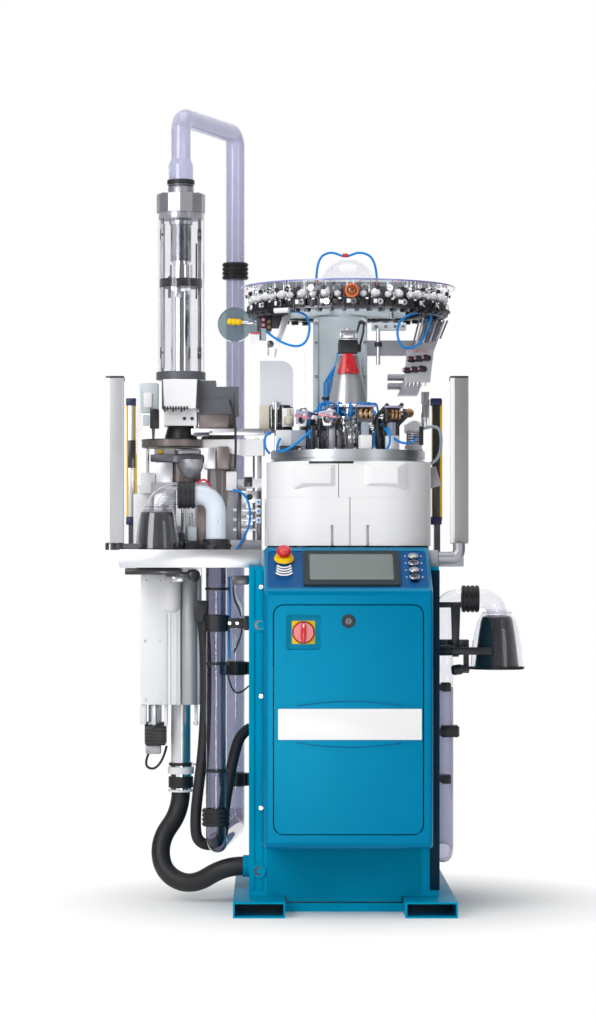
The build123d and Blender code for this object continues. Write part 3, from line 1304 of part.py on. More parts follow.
def slide_tube():
    low = guard_low + SOCK_TUBE_START
    high = low + SOCK_TUBE_LENGTH
    spigot = SOCK_TUBE_RADIUS - SOCK_TUBE_WALL - FIT
    tube = post(0, 0, SOCK_TUBE_RADIUS, low, high) + post(0, 0, spigot, high, high + SOCK_SPIGOT_LENGTH)
    tube += post(0, 0, COLLAR_RADIUS, high - COLLAR_HEIGHT, high)
    tube -= post(0, 0, spigot - SOCK_TUBE_WALL, low - CUT, high + SOCK_SPIGOT_LENGTH + CUT)
    for side in (-1, 1):
        tube -= post(side * ROD_SPREAD, 0, ROD_RADIUS + FIT, high - COLLAR_HEIGHT - CUT, high + CUT)
    return Pos(toe_x, toe_y, 0) * tube


# Housing under the table

def lower_housing():
    panel = (-HOUSING_LEFT, -HOUSING_LEFT + HOUSING_PANEL)
    right = -HOUSING_LEFT + HOUSING_WIDTH
    back = HOUSING_DEPTH - HOUSING_FRONT
    top = base_top - TABLE_WALL
    bore = post(toe_x, toe_y, LOWER_TUBE_RADIUS + FIT, housing_low - CUT, top + CUT)
    body = block(panel, (-HOUSING_FRONT, back), (housing_low, top))
    body += block((panel[1], right), (HOUSING_STEP - HOUSING_FRONT, back), (housing_low, top))
    capsule_top = cabinet_top - CAPSULE_DROP
    capsule = post(-CAPSULE_LEFT, HOUSING_STEP - HOUSING_FRONT - CAPSULE_RADIUS / 2, CAPSULE_RADIUS,
                   capsule_top - CAPSULE_HEIGHT, capsule_top)
    motor_top = housing_low - LOWER_MOTOR_GAP
    middle = (panel[0] + panel[1]) / 2
    half = LOWER_MOTOR_WIDTH / 2
    neck = half * LOWER_MOTOR_NECK_SHARE
    motor = block((middle - half, middle + half), (toe_y - half, toe_y + half),
                  (motor_top - LOWER_MOTOR_HEIGHT, motor_top))
    motor += block((middle - neck, middle + neck), (toe_y - neck, toe_y + neck), (motor_top, housing_low))
    tube = pipe(toe_x, toe_y, LOWER_TUBE_RADIUS, LOWER_TUBE_RADIUS - SOCK_TUBE_WALL, lower_tube_low,
                link_low)
    coupling = post(toe_x, toe_y, HOSE_RADIUS + PORT_WALL, hose_start, lower_tube_low)
    return group((body + capsule - bore) + motor, tube + coupling)


# Suction tubes

def hose_bends(points):
    """Bend radius at each corner, as large as the shorter run beside it allows."""
    bends = []
    for before, here, after in zip(points, points[1:], points[2:]):
        first = Vector(*here) - Vector(*before)
        second = Vector(*after) - Vector(*here)
        half_turn = radians(first.get_angle(second)) / 2
        bends.append(HOSE_BEND_SHARE * min(first.length, second.length) * cos(half_turn) / sin(half_turn))
    return bends


def sock_hose():
    points = hose_points()
    path = FilletPolyline(*points, radius=hose_bends(points))
    return sweep(Plane(origin=path @ 0, z_dir=path % 0) * Circle(HOSE_RADIUS), path=path)


def top_tube():
    socket_low = cap_top + FIT
    socket_top = socket_low + SOCKET_LENGTH
    outer = SPIGOT_RADIUS + FIT + TUBE_WALL
    socket = turned([(SPIGOT_RADIUS + FIT, socket_low), (outer, socket_low),
                     (outer, socket_top - outer / 2), (TUBE_RADIUS, socket_top),
                     (TUBE_RADIUS - TUBE_WALL, socket_top), (SPIGOT_RADIUS + FIT, socket_top - outer / 2)])
    joint = (back_tube_x, back_tube_y, back_joint_z)
    over = [(toe_x, toe_y, socket_top), (toe_x, toe_y, top_tube_z),
            (back_tube_x, back_tube_y, top_tube_z), joint]
    under = [joint, (back_tube_x, back_tube_y, RETURN_HEIGHT), (drop_x, drop_y, RETURN_HEIGHT),
             (drop_x, drop_y, DROP_JOINT_HEIGHT)]
    upper = swept_tube(over, TUBE_RADIUS, TUBE_WALL, TUBE_BEND) + Pos(toe_x, toe_y, 0) * socket
    return group(upper, swept_tube(under, TUBE_RADIUS, TUBE_WALL, TUBE_BEND))


def drop_tube():
    joint_x = (drop_x + left_bell_x) / 2
    bell_top = base_top + LEFT_BELL_HEIGHT
    low = (drop_x, drop_y, DROP_JOINT_HEIGHT)
    joint = (joint_x, drop_y, bell_tube_z)
    end = (left_bell_x, drop_y, bell_top - BELL_NECK)
    drop = swept_tube([low, (drop_x, drop_y, bell_tube_z), joint], TUBE_RADIUS, TUBE_WALL, TUBE_BEND)
    elbow = swept_tube([joint, (left_bell_x, drop_y, bell_tube_z), end], TUBE_RADIUS, TUBE_WALL, TUBE_BEND)
    return group(drop, elbow)


def side_tube():
    bell_top = RIGHT_BELL_LOW + RIGHT_BELL_HEIGHT
    joint = (side_tube_x, RIGHT_BELL_BACK, side_joint_z)
    over = [(right_bell_x, RIGHT_BELL_BACK, bell_top - BELL_NECK),
            (right_bell_x, RIGHT_BELL_BACK, RIGHT_TUBE_HEIGHT),
            (side_tube_x, RIGHT_BELL_BACK, RIGHT_TUBE_HEIGHT), joint]
    under = [joint, (side_tube_x, RIGHT_BELL_BACK, SIDE_TUBE_LOW),
             (side_tube_x, RIGHT_BELL_BACK + SIDE_TUBE_REACH, SIDE_TUBE_LOW)]
    return group(*[swept_tube(run, TUBE_RADIUS, TUBE_WALL, TUBE_BEND) for run in (over, under)])


def bell(x, y, low, height, radius):
    """Bell that widens downwards from the end of a tube, in two slopes."""
    high = low + height
    inner = TUBE_RADIUS + FIT
    wide = radius * BELL_SHOULDER_WIDTH_SHARE
    shoulder = low + height * BELL_SHOULDER_HEIGHT_SHARE
    shape = turned([(radius - BELL_WALL, low), (radius, low), (wide, shoulder), (inner + BELL_WALL, high),
                    (inner, high), (wide - BELL_WALL, shoulder)])
    return Pos(x, y, 0) * shape


def suction_bells():
    left = bell(left_bell_x, drop_y, base_top, LEFT_BELL_HEIGHT, LEFT_BELL_RADIUS)
    neck = pipe(left_bell_x, drop_y, LEFT_NECK_RADIUS, LEFT_NECK_RADIUS - BELL_WALL, left_neck_low,
                base_top)
    right = bell(right_bell_x, RIGHT_BELL_BACK, RIGHT_BELL_LOW, RIGHT_BELL_HEIGHT, RIGHT_BELL_RADIUS)
    return group(left, neck, right)


def tube_couplings():
    inner = TUBE_RADIUS + FIT
    outer = inner + COUPLING_WALL
    half = COUPLING_LENGTH / 2
    joint_x = (drop_x + left_bell_x) / 2
    rings = [pipe(drop_x, drop_y, outer, inner, DROP_JOINT_HEIGHT - half, DROP_JOINT_HEIGHT + half),
             pipe(drop_x, drop_y, outer, inner, base_top, base_top + half)]
    along = bar_along_x(drop_y, bell_tube_z, outer, joint_x - half, joint_x + half)
    rings.append(along - bar_along_x(drop_y, bell_tube_z, inner, joint_x - half - CUT,
                                     joint_x + half + CUT))
    rings.append(pipe(back_tube_x, back_tube_y, outer, inner, back_joint_z - half, back_joint_z + half))
    middle_x = (right_bell_x + side_tube_x) / 2
    y = RIGHT_BELL_BACK
    cross = bar_along_x(y, RIGHT_TUBE_HEIGHT, outer, middle_x - half, middle_x + half)
    rings.append(cross - bar_along_x(y, RIGHT_TUBE_HEIGHT, inner, middle_x - half - CUT,
                                     middle_x + half + CUT))
    for share in SIDE_CLAMP_SHARES:
        z = base_top * share
        clip = block((cabinet_right, side_tube_x), (y - outer, y + outer), (z - CLAMP_LENGTH, z))
        rings.append(clip - post(side_tube_x, y, inner, z - CLAMP_LENGTH - CUT, z + CUT))
    return group(bell_bracket(), *rings)


def bell_bracket():
    """Arm from the cabinet's right side that holds the bell and the lugs of its flap."""
    y = RIGHT_BELL_BACK
    low = RIGHT_BELL_LOW + BRACKET_WIDTH
    inner = side_tube_x + TUBE_RADIUS + CLAMP_WALL
    back = (y + TUBE_RADIUS + CLAMP_WALL, y + TUBE_RADIUS + CLAMP_WALL + BRACKET_WIDTH / 2)
    arm = block((cabinet_right, right_hinge_x + FLAP_KNUCKLE), back, (low, low + BRACKET_WIDTH))
    arm += block((inner, right_hinge_x + FLAP_KNUCKLE), (y - BRACKET_WIDTH / 2, back[1]),
                 (low, low + BRACKET_WIDTH))
    for lug in flap_lugs(right_hinge_x, y, right_flap_top - FLAP_KNUCKLE, low + BRACKET_WIDTH):
        arm += lug
    return arm


def flap(side, hinge_x, y, radius, top):
    """Round flap that closes a bell from below, with its knuckle and counterweight."""
    pin = top - FLAP_KNUCKLE
    low = top - FLAP_THICKNESS
    plate = post(hinge_x - side * (FLAP_HINGE_GAP + radius), y, radius, low, top)
    near = sorted((hinge_x, hinge_x - side * (FLAP_HINGE_GAP + FLAP_HINGE_GAP)))
    arm = block(near, (y - FLAP_ARM, y + FLAP_ARM), (low, top))
    knuckle = bar_along_y(hinge_x, pin, FLAP_KNUCKLE, y - FLAP_ARM, y + FLAP_ARM)
    axle = bar_along_y(hinge_x, pin, FLAP_PIN, y - FLAP_ARM - FIT - LUG_THICKNESS,
                       y + FLAP_ARM + FIT + LUG_THICKNESS)
    reach = sorted((hinge_x, hinge_x + side * FLAP_WEIGHT_REACH))
    lever = block(reach, (y - FLAP_PIN, y + FLAP_PIN), (pin - FLAP_PIN, pin + FLAP_PIN))
    half = FLAP_WEIGHT_LENGTH / 2
    weight = bar_along_y(hinge_x + side * FLAP_WEIGHT_REACH, pin, FLAP_WEIGHT_RADIUS, y - half, y + half)
    return plate + arm + knuckle + axle + lever + weight


PIECES = {
    "base_frame": base_frame,
    "cabinet_shell": cabinet_shell,
    "plinth_panel": plinth_panel,
    "control_rack": control_rack,
    "front_hood": front_hood,
    "front_door": front_door,
    "switch_handle": switch_handle,
    "door_lock": door_lock,
    "control_panel": control_panel,
    "display": display,
    "estop_button": estop_button,
    "bed_base": bed_base,
    "bed_plate": bed_plate,
    "needle_cylinder": needle_cylinder,
    "cam_ring": cam_ring,
    "main_motor": main_motor,
    "motor_pulley": motor_pulley,
    "drive_belt": drive_belt,
    "skirt_upper": skirt_upper,
    "dial": dial,
    "dial_housing": dial_housing,
    "dial_motor": dial_motor,
    "dial_guard": dial_guard,
    "mast": mast,
    "yarn_ring": yarn_ring,
    "yarn_guides": yarn_guides,
    "ring_disc": ring_disc,
    "yarn_lamp": yarn_lamp,
    "finger_magazine": finger_magazine,
    "finger_units": finger_units,
    "bed_boxes": bed_boxes,
    "side_motor_cover": side_motor_cover,
    "table": table,
    "mirror_posts": mirror_posts,
    "light_curtains": light_curtains,
    "linking_dial": linking_dial,
    "toe_column": toe_column,
    "transfer_frame": transfer_frame,
    "transfer_arm": transfer_arm,
    "toe_motor_box": toe_motor_box,
    "toe_base": toe_base,
    "toe_cover": toe_cover,
    "toe_guard": toe_guard,
    "toe_cap": toe_cap,
    "slide_tube": slide_tube,
    "lower_housing": lower_housing,
    "sock_hose": sock_hose,
    "top_tube": top_tube,
    "drop_tube": drop_tube,
    "side_tube": side_tube,
    "suction_bells": suction_bells,
    "tube_couplings": tube_couplings,
}


def all_pieces():
    """Every node of the machine by name."""
    pieces = {name: build() for name, build in PIECES.items()}
    for index in range(BUTTON_COUNT):
        pieces[f"push_button_{index + 1}"] = push_button(index)
    pieces["skirt_door_left"] = skirt_door(-1)
    pieces["skirt_door_right"] = skirt_door(1)
    pieces["left_flap"] = flap(1, left_hinge_x, drop_y, left_flap_radius, left_flap_top)
    pieces["right_flap"] = flap(-1, right_hinge_x, RIGHT_BELL_BACK, right_flap_radius, right_flap_top)
    return pieces


if __name__ == "__main__":
    os.makedirs("parts", exist_ok=True)
    print("hose bend radii", [round(bend) for bend in hose_bends(hose_points())])
    for name, piece in all_pieces().items():
        export_step(piece, f"parts/{name}.step")
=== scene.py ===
import bpy
import bmesh
import math
from mathutils import Matrix, Vector

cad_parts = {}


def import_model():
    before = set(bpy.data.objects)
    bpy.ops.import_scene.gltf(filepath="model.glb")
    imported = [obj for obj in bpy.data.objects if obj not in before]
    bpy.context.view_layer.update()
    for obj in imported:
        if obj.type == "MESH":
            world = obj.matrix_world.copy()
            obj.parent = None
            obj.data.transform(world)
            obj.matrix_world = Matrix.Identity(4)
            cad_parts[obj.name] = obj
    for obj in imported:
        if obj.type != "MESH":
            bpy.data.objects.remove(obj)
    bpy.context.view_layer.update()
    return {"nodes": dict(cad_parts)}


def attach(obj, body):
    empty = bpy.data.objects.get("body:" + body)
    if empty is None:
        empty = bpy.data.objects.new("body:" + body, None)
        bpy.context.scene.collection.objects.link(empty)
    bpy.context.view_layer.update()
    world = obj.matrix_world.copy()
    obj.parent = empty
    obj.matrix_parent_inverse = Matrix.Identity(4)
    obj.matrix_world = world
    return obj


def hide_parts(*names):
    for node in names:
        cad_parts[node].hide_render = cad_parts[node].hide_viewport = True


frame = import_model()
nodes = frame["nodes"]

MM = 0.001

# Camera, with its focal length and shifts in the photograph's pixels
PHOTO_LONG_SIDE = 1024
PHOTO_FOCAL = 2945
SENSOR = 36.0
CAMERA_PLACE = (-225, -8500, 978)
CAMERA_SHIFT = (28 / PHOTO_LONG_SIDE, 50 / PHOTO_LONG_SIDE)

# Shared places, sizes and directions, in millimetres
HOOD_FRONT = -430
DOOR_FACE = min(vertex.co.y for vertex in nodes["front_door"].data.vertices) / MM
TUBE_RADIUS = 28.5
TUBE_WALL = 2.5
TUBE_BEND = 39
TOE_AXIS = (-484, 60)
TOE_AXIS_PICKUP = (-508, 60)
DROP_PLACE = (-379, -120)
BACK_TUBE = (-330, 410)
LEFT_BELL = (-547, -120)
RIGHT_BELL = (434, 60)
SIDE_TUBE = (280, 60)
TABLE_TOP = 1012
BED_TOP = 1296
DISC_LOW = 1764
DISC_RADIUS = 309
SWITCH_PLACE = (-133.2, HOOD_FRONT + 17.6, 784.8)
LOCK_X = -10
LOCK_HEIGHT = 816
SOCK_HOSE_RADIUS = 27
CABINET_HOSE_RADIUS = 16
VALVE_HOSE_RADIUS = 4.5
CABLE_RADIUS = 3.5
AIR_TUBE_RADIUS = 3.4
WIRE_RADIUS = 2.4
TO_FRONT = (0, -1, 0)
TO_BACK = (0, 1, 0)
TO_RIGHT = (1, 0, 0)
UP = (0, 0, 1)
SHARP_ANGLE = math.radians(34)

# Light levels, and the lamps, cards and floor in metres; each lamp has a place, an aim, a size and its watts
WORLD_LEVEL = 0.32
ROOM_LEVEL = 0.22
LAMPS = {
    "key": ((-2.1, -2.6, 2.4), (-0.1, 0, 1.05), (1.6, 2.6), 71),
    "fill": ((2.8, -3.4, 1.7), (0, 0, 1.0), (1.2, 2.6), 17),
    "top": ((0, -0.4, 4.6), (0, 0, 1.0), (2.6, 2.6), 40),
    "sheen": ((-0.2, -3.4, 0.42), (-0.2, -0.43, 0.5), (0.3, 0.9), 12),
}
FLAGS = {"left_flag": -2.1, "right_flag": 2.1}
FLAG_DEPTH = (-1.2, 1.6)
FLAG_HEIGHT = (0.1, 2.6)
FLOOR_HALF = 14
SHADOW_NEAR = 0.3
SHADOW_FAR = 0.85

# A colour mix node's sockets, by number, and how far the gloss of a finish wanders
MIX_FACTOR, MIX_FIRST, MIX_SECOND, MIX_COLOUR = 0, 6, 7, 2
PATCH_GLOSS = (0.85, 1.05)
GRAIN_GLOSS = 0.2


# Materials


def new_material(name):
    material = bpy.data.materials.new(name)
    material.use_nodes = True
    tree = material.node_tree
    return material, tree, tree.nodes["Principled BSDF"]


def node(tree, kind, **sockets):
    made = tree.nodes.new(kind)
    for name, value in sockets.items():
        made.inputs[name.replace("_", " ")].default_value = value
    return made


def noise(tree, vector, scale, detail=3.0):
    made = node(tree, "ShaderNodeTexNoise", Scale=scale, Detail=detail)
    tree.links.new(vector, made.inputs["Vector"])
    return made.outputs[0]


def spread(tree, value, low, high):
    made = node(tree, "ShaderNodeMapRange", From_Min=0.3, From_Max=0.7, To_Min=low, To_Max=high)
    tree.links.new(value, made.inputs["Value"])
    return made.outputs[0]


def surface(name, colour, rough, metallic=0.0, mottle=0.06, patch=7.0, grain=600.0, relief=0.04,
            stretch=(1, 1, 1), **sockets):
    """A worn-in finish: patchy colour, uneven gloss and fine relief, all in object coordinates."""
    material, tree, shader = new_material(name)
    place = tree.nodes.new("ShaderNodeTexCoord").outputs["Object"]
    mapping = node(tree, "ShaderNodeMapping", Scale=stretch)
    tree.links.new(place, mapping.inputs["Vector"])
    patches = noise(tree, place, patch, 4.0)
    grains = noise(tree, mapping.outputs[0], grain)
    blend = tree.nodes.new("ShaderNodeMix")
    blend.data_type = "RGBA"
    blend.inputs[MIX_FIRST].default_value = [part * (1 - mottle) for part in colour] + [1]
    blend.inputs[MIX_SECOND].default_value = [min(1, part * (1 + mottle)) for part in colour] + [1]
    tree.links.new(spread(tree, patches, 0, 1), blend.inputs[MIX_FACTOR])
    tree.links.new(blend.outputs[MIX_COLOUR], shader.inputs["Base Color"])
    uneven = node(tree, "ShaderNodeMath")
    tree.links.new(spread(tree, patches, *(rough * share for share in PATCH_GLOSS)), uneven.inputs[0])
    tree.links.new(spread(tree, grains, 0, rough * GRAIN_GLOSS), uneven.inputs[1])
    tree.links.new(uneven.outputs[0], shader.inputs["Roughness"])
    bump = node(tree, "ShaderNodeBump", Strength=relief, Distance=0.001)
    tree.links.new(grains, bump.inputs["Height"])
    tree.links.new(bump.outputs[0], shader.inputs["Normal"])
    shader.inputs["Metallic"].default_value = metallic
    for socket, value in sockets.items():
        shader.inputs[socket.replace("_", " ")].default_value = value
    return material


def clear_plastic(name, tint, rough=0.04, index=1.18, haze=0.0):
    """A see-through moulding with a glossy skin and faint smears."""
    material = surface(name, tint, rough, mottle=0.02, patch=12.0, grain=40.0, relief=0.01,
                       Coat_Weight=0.6, Coat_Roughness=0.03)
    shader = material.node_tree.nodes["Principled BSDF"]
    shader.inputs["Transmission Weight"].default_value = 1.0 - haze
    shader.inputs["IOR"].default_value = index
    return material


TEAL_GLOSS = (0.05, 0.8, 1.0, 1.0)
TEAL = surface("teal_powder_coat", (0.0, 0.29, 0.48), 0.4, grain=900, relief=0.05, Specular_IOR_Level=0.2,
               Specular_Tint=TEAL_GLOSS)
# A darker copy of the teal powder coat for the plinth: painted shade of the hood above it
SHADED_PLINTH_TEAL = surface("plinth_painted_shade_coat", (0.0, 0.215, 0.37), 0.4, grain=900, relief=0.05,
                      Specular_IOR_Level=0.2, Specular_Tint=TEAL_GLOSS)
HOOD_TEAL = surface("moulded_teal", (0.0, 0.17, 0.35), 0.25, patch=3, grain=1200, relief=0.05,
                    Specular_IOR_Level=0.5, Specular_Tint=TEAL_GLOSS)
SHADOW_TEAL = surface("shadow_teal", (0.0, 0.022, 0.05), 0.45, grain=900, relief=0.05,
                      Specular_IOR_Level=0.15)
DESK_BLUE = surface("desk_blue_film", (0.0, 0.085, 0.27), 0.38, patch=5, grain=1500, relief=0.04,
                    Specular_IOR_Level=0.15)
BEZEL = surface("bezel_plastic", (0.028, 0.04, 0.05), 0.5, grain=1800, relief=0.06, Specular_IOR_Level=0.15)
SCREEN = surface("screen_glass", (0.2, 0.235, 0.225), 0.3, patch=4, mottle=0.03, grain=2500, relief=0.01,
                 Specular_IOR_Level=0.15)
RED = surface("signal_red", (0.62, 0.012, 0.02), 0.3, patch=20, Coat_Weight=0.3)
YELLOW = surface("signal_yellow", (0.9, 0.56, 0.004), 0.4, patch=20, Specular_IOR_Level=0.3)
ORANGE = surface("orange_plastic", (0.8, 0.16, 0.02), 0.4, patch=30)
PINK = surface("pink_plastic", (0.7, 0.28, 0.36), 0.42, patch=30)
BLACK = surface("black_plastic", (0.014, 0.015, 0.018), 0.4, patch=15, grain=1500, relief=0.06)
SATIN_BLACK = surface("black_enamel", (0.02, 0.021, 0.025), 0.3, patch=10, Coat_Weight=0.3)
RUBBER = surface("black_rubber", (0.016, 0.016, 0.018), 0.52, patch=12, grain=400, relief=0.1)
WHITE = surface("white_paint", (0.87, 0.87, 0.884), 0.42, mottle=0.03, patch=4, grain=1100, relief=0.04,
                Specular_IOR_Level=0.3)
FILM = surface("white_film", (0.9, 0.9, 0.905), 0.34, mottle=0.02, patch=5)
CERAMIC = surface("white_ceramic", (0.78, 0.78, 0.79), 0.16, mottle=0.03, patch=40, Coat_Weight=0.4)
LILAC_PLASTIC = surface("lilac_plastic", (0.42, 0.42, 0.58), 0.42, patch=20)
ALUMINIUM = surface("brushed_aluminium", (0.72, 0.73, 0.76), 0.3, 1.0, grain=60, relief=0.03,
                    stretch=(2, 2, 30))
PLATE_ALUMINIUM = surface("milled_aluminium", (0.7, 0.71, 0.74), 0.34, 1.0, grain=80, relief=0.03,
                          stretch=(3, 30, 30))
STEEL = surface("machined_steel", (0.52, 0.53, 0.56), 0.25, 1.0, patch=25, grain=90, relief=0.03,
                stretch=(1, 1, 25))
DARK_STEEL = surface("blackened_steel", (0.13, 0.13, 0.15), 0.32, 0.9, patch=25, grain=300)
TUBE_STEEL = surface("tube_steel", (0.21, 0.215, 0.24), 0.27, 1.0, patch=12, grain=90, relief=0.02,
                     stretch=(1, 1, 0.2))
CHROME = surface("chrome", (0.82, 0.83, 0.86), 0.08, 1.0, mottle=0.03, patch=15, grain=200, relief=0.01)
BRONZE = surface("bronze_rollers", (0.42, 0.26, 0.13), 0.3, 1.0, patch=30, grain=120)
POST_SILVER = surface("post_silver", (0.47, 0.475, 0.495), 0.45, 0.35, mottle=0.04, grain=60, relief=0.03,
                      stretch=(3, 3, 0.1))
CONE_SILVER = surface("cone_silver", (0.5, 0.51, 0.53), 0.36, 0.7, mottle=0.05, grain=90, relief=0.03,
                      stretch=(1, 1, 6))
TAUPE = surface("taupe_anodised", (0.23, 0.195, 0.185), 0.36, 0.55, patch=10, grain=500)
# A darker copy of the post silver for the right post: painted shade
POST_PAINTED_SHADE = surface("post_painted_shade", (0.3, 0.29, 0.29), 0.45, 0.4, mottle=0.05, grain=60, relief=0.03)
BED_STEEL = surface("bed_steel", (0.52, 0.545, 0.58), 0.36, 1.0, grain=80, relief=0.03, stretch=(3, 30, 30))
COVER_GREY = surface("motor_cover_paint", (0.7, 0.72, 0.76), 0.4, mottle=0.04, patch=5, grain=1000,
                     relief=0.05)
CAST = surface("cast_alloy", (0.42, 0.42, 0.46), 0.42, 0.75, patch=14, grain=350, relief=0.12)
MAST_GREY = surface("mast_paint", (0.58, 0.65, 0.68), 0.4, patch=6, grain=900, relief=0.05)
BOX_GREY = surface("box_paint", (0.36, 0.41, 0.49), 0.45, patch=9, grain=900, relief=0.05)
MOTOR_GREY = surface("motor_paint", (0.1, 0.105, 0.125), 0.42, patch=9, grain=900, relief=0.08)
NAVY = surface("navy_plastic", (0.012, 0.018, 0.09), 0.4, patch=20)
CREAM = surface("cream_plastic", (0.68, 0.63, 0.52), 0.42, patch=20)
ZINC = surface("zinc_plate", (0.56, 0.57, 0.55), 0.38, 0.9, patch=30, grain=60, mottle=0.14)
AIR_BLUE = surface("blue_air_tube", (0.0, 0.25, 0.72), 0.3, patch=30, Specular_IOR_Level=0.3)
AMBER = surface("amber_lens", (0.22, 0.05, 0.008), 0.12, mottle=0.3, patch=60, Coat_Weight=0.8)
FROSTED = clear_plastic("frosted_elbow", (0.8, 0.85, 0.91), 0.3, index=1.3, haze=0.55)
CLEAR_TUBE = clear_plastic("clear_tube", (0.65, 0.655, 0.775), index=1.26, haze=0.22)
CLEAR_GUARD = clear_plastic("clear_guard", (0.94, 0.94, 0.965), index=1.12)
VIOLET_TUBE = clear_plastic("violet_tube", (0.41, 0.41, 0.5), 0.06, index=1.3)
CLEAR_DISC = clear_plastic("clear_disc", (0.90, 0.92, 0.98))
VIOLET_EDGE = surface("violet_edge", (0.25, 0.27, 0.62), 0.2, patch=8, Coat_Weight=0.6)
SMOKED = clear_plastic("smoked_plastic", (0.10, 0.10, 0.115), 0.1, haze=0.6)
SMOKED_LENS = clear_plastic("smoked_lens", (0.3, 0.38, 0.41), 0.06, haze=0.3)


# Small solids, given in millimetres and gathered into one mesh with several finishes


def turned_frame(origin, across, up):
    """A frame whose first two axes are given; its third points out of them."""
    u = Vector(across).normalized()
    n = u.cross(Vector(up)).normalized()
    v = n.cross(u)
    rows = Matrix((u, v, n)).transposed().to_4x4()
    return Matrix.Translation(origin) @ rows


def front(x, y, z):
    """A plane that faces the camera."""
    return turned_frame((x, y, z), TO_RIGHT, UP)


class Assembly:
    def __init__(self, name, body="frame", slot=None):
        self.name = name
        self.body = body
        self.slot = slot
        self.mesh = bmesh.new()
        self.finishes = []

    def take(self, part, finish, place=None):
        bmesh.ops.recalc_face_normals(part, faces=part.faces)
        if place is not None:
            part.transform(place)
        if finish not in self.finishes:
            self.finishes.append(finish)
        for face in part.faces:
            face.material_index = self.finishes.index(finish)
            face.smooth = True
        loose = bpy.data.meshes.new("part")
        part.to_mesh(loose)
        part.free()
        self.mesh.from_mesh(loose)
        bpy.data.meshes.remove(loose)

    def box(self, finish, x, y, z, bevel=1.5, place=None):
        part = bmesh.new()
        bmesh.ops.create_cube(part, size=1)
        low = Vector((x[0], y[0], z[0]))
        size = Vector((x[1], y[1], z[1])) - low
        part.transform(Matrix.Translation(low + size / 2) @ Matrix.Diagonal(size).to_4x4())
        reach = min(bevel, 0.4 * min(size))
        bmesh.ops.bevel(part, geom=part.edges[:], offset=reach, segments=2, profile=0.5, affect="EDGES")
        self.take(part, finish, place)

    def rod(self, finish, start, end, radius, tip=None, sides=20):
        part = bmesh.new()
        line = Vector(end) - Vector(start)
        far = radius if tip is None else tip
        bmesh.ops.create_cone(part, cap_ends=True, segments=sides, radius1=radius, radius2=far,
                              depth=line.length)
        turn = line.to_track_quat("Z", "Y").to_matrix().to_4x4()
        self.take(part, finish, Matrix.Translation((Vector(start) + Vector(end)) / 2) @ turn)

    def turned(self, finish, profile, base, axis=UP, sides=40):
        """Spins (radius, height) points about an axis; a profile off the axis closes on itself."""
        part = bmesh.new()
        rings = []
        for radius, height in profile:
            count = 1 if radius < 1e-6 else sides
            turns = [2 * math.pi * step / sides for step in range(count)]
            spots = [(radius * math.cos(a), radius * math.sin(a), height) for a in turns]
            rings.append([part.verts.new(spot) for spot in spots])
        pairs = list(zip(rings, rings[1:]))
        if len(rings[0]) > 1 and len(rings[-1]) > 1:
            pairs.append((rings[-1], rings[0]))
        for low, high in pairs:
            for step in range(sides):
                after = (step + 1) % sides
                corners = [low[step % len(low)], low[after % len(low)], high[after % len(high)],
                           high[step % len(high)]]
                corners = list(dict.fromkeys(corners))
                if len(corners) > 2:
                    part.faces.new(corners)
        turn = Vector(axis).to_track_quat("Z", "Y").to_matrix().to_4x4()
        self.take(part, finish, Matrix.Translation(base) @ turn)

    def plate(self, finish, outline, depth, place, bevel=0.6, top=1.0):
        """An outline in a plane, pushed out of it by its depth; its top may be smaller."""
        part = bmesh.new()
        low = [part.verts.new((u, v, 0)) for u, v in outline]
        high = [part.verts.new((u * top, v * top, depth)) for u, v in outline]
        part.faces.new(low)
        part.faces.new(high)
        for step in range(len(outline)):
            after = (step + 1) % len(outline)
            part.faces.new((low[step], low[after], high[after], high[step]))
        bmesh.ops.recalc_face_normals(part, faces=part.faces)
        rim = [edge for edge in part.edges if all(vert in high for vert in edge.verts)]
        bmesh.ops.bevel(part, geom=rim, offset=min(bevel, 0.4 * depth), segments=2, profile=0.5,
                        affect="EDGES")
        self.take(part, finish, place)

    def pipe(self, finish, points, bend, radius, wall=None, sides=32):
        """A tube through the points with round bends; with a wall it is hollow and open at its ends."""
        path = rounded_path([Vector(point) for point in points], bend)
        rims = [sweep_rings(path, radius, sides)]
        if wall:
            rims.append(sweep_rings(path, radius - wall, sides))
        part = bmesh.new()
        skins = [[[part.verts.new(corner) for corner in ring] for ring in rim] for rim in rims]
        for skin in skins:
            for low, high in zip(skin, skin[1:]):
                for step in range(sides):
                    after = (step + 1) % sides
                    part.faces.new((low[step], low[after], high[after], high[step]))
        for end in (0, -1):
            if wall:
                outer, inner = skins[0][end], skins[1][end]
                for step in range(sides):
                    after = (step + 1) % sides
                    part.faces.new((outer[step], outer[after], inner[after], inner[step]))
            else:
                part.faces.new(skins[0][end])
        self.take(part, finish)

    def loose(self):
        mesh = bpy.data.meshes.new(self.name)
        self.mesh.to_mesh(mesh)
        self.mesh.free()
        mesh.transform(Matrix.Scale(MM, 4))
        for finish in self.finishes:
            mesh.materials.append(finish)
        mesh.set_sharp_from_angle(angle=SHARP_ANGLE)
        made = bpy.data.objects.new(self.name, mesh)
        bpy.context.scene.collection.objects.link(made)
        return made

    def done(self, replaces=(), casts_shadow=True):
        made = self.loose()
        made.visible_shadow = casts_shadow
        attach(made, self.body)
        if replaces:
            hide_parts(*replaces)
        return made


def rounded_path(points, bend, steps=10):
    """Straight runs joined by tangent arcs."""
    path = [points[0]]
    for before, corner, after in zip(points, points[1:], points[2:]):
        back = (before - corner).normalized()
        ahead = (after - corner).normalized()
        half = back.angle(ahead) / 2
        reach = bend / math.tan(half)
        middle = corner + (back + ahead).normalized() * (bend / math.sin(half))
        start = corner + back * reach - middle
        end = corner + ahead * reach - middle
        sweep = start.angle(end)
        for step in range(steps + 1):
            share = step / steps
            ray = (start * math.sin((1 - share) * sweep) + end * math.sin(share * sweep)) / math.sin(sweep)
            path.append(middle + ray)
    path.append(points[-1])
    return path


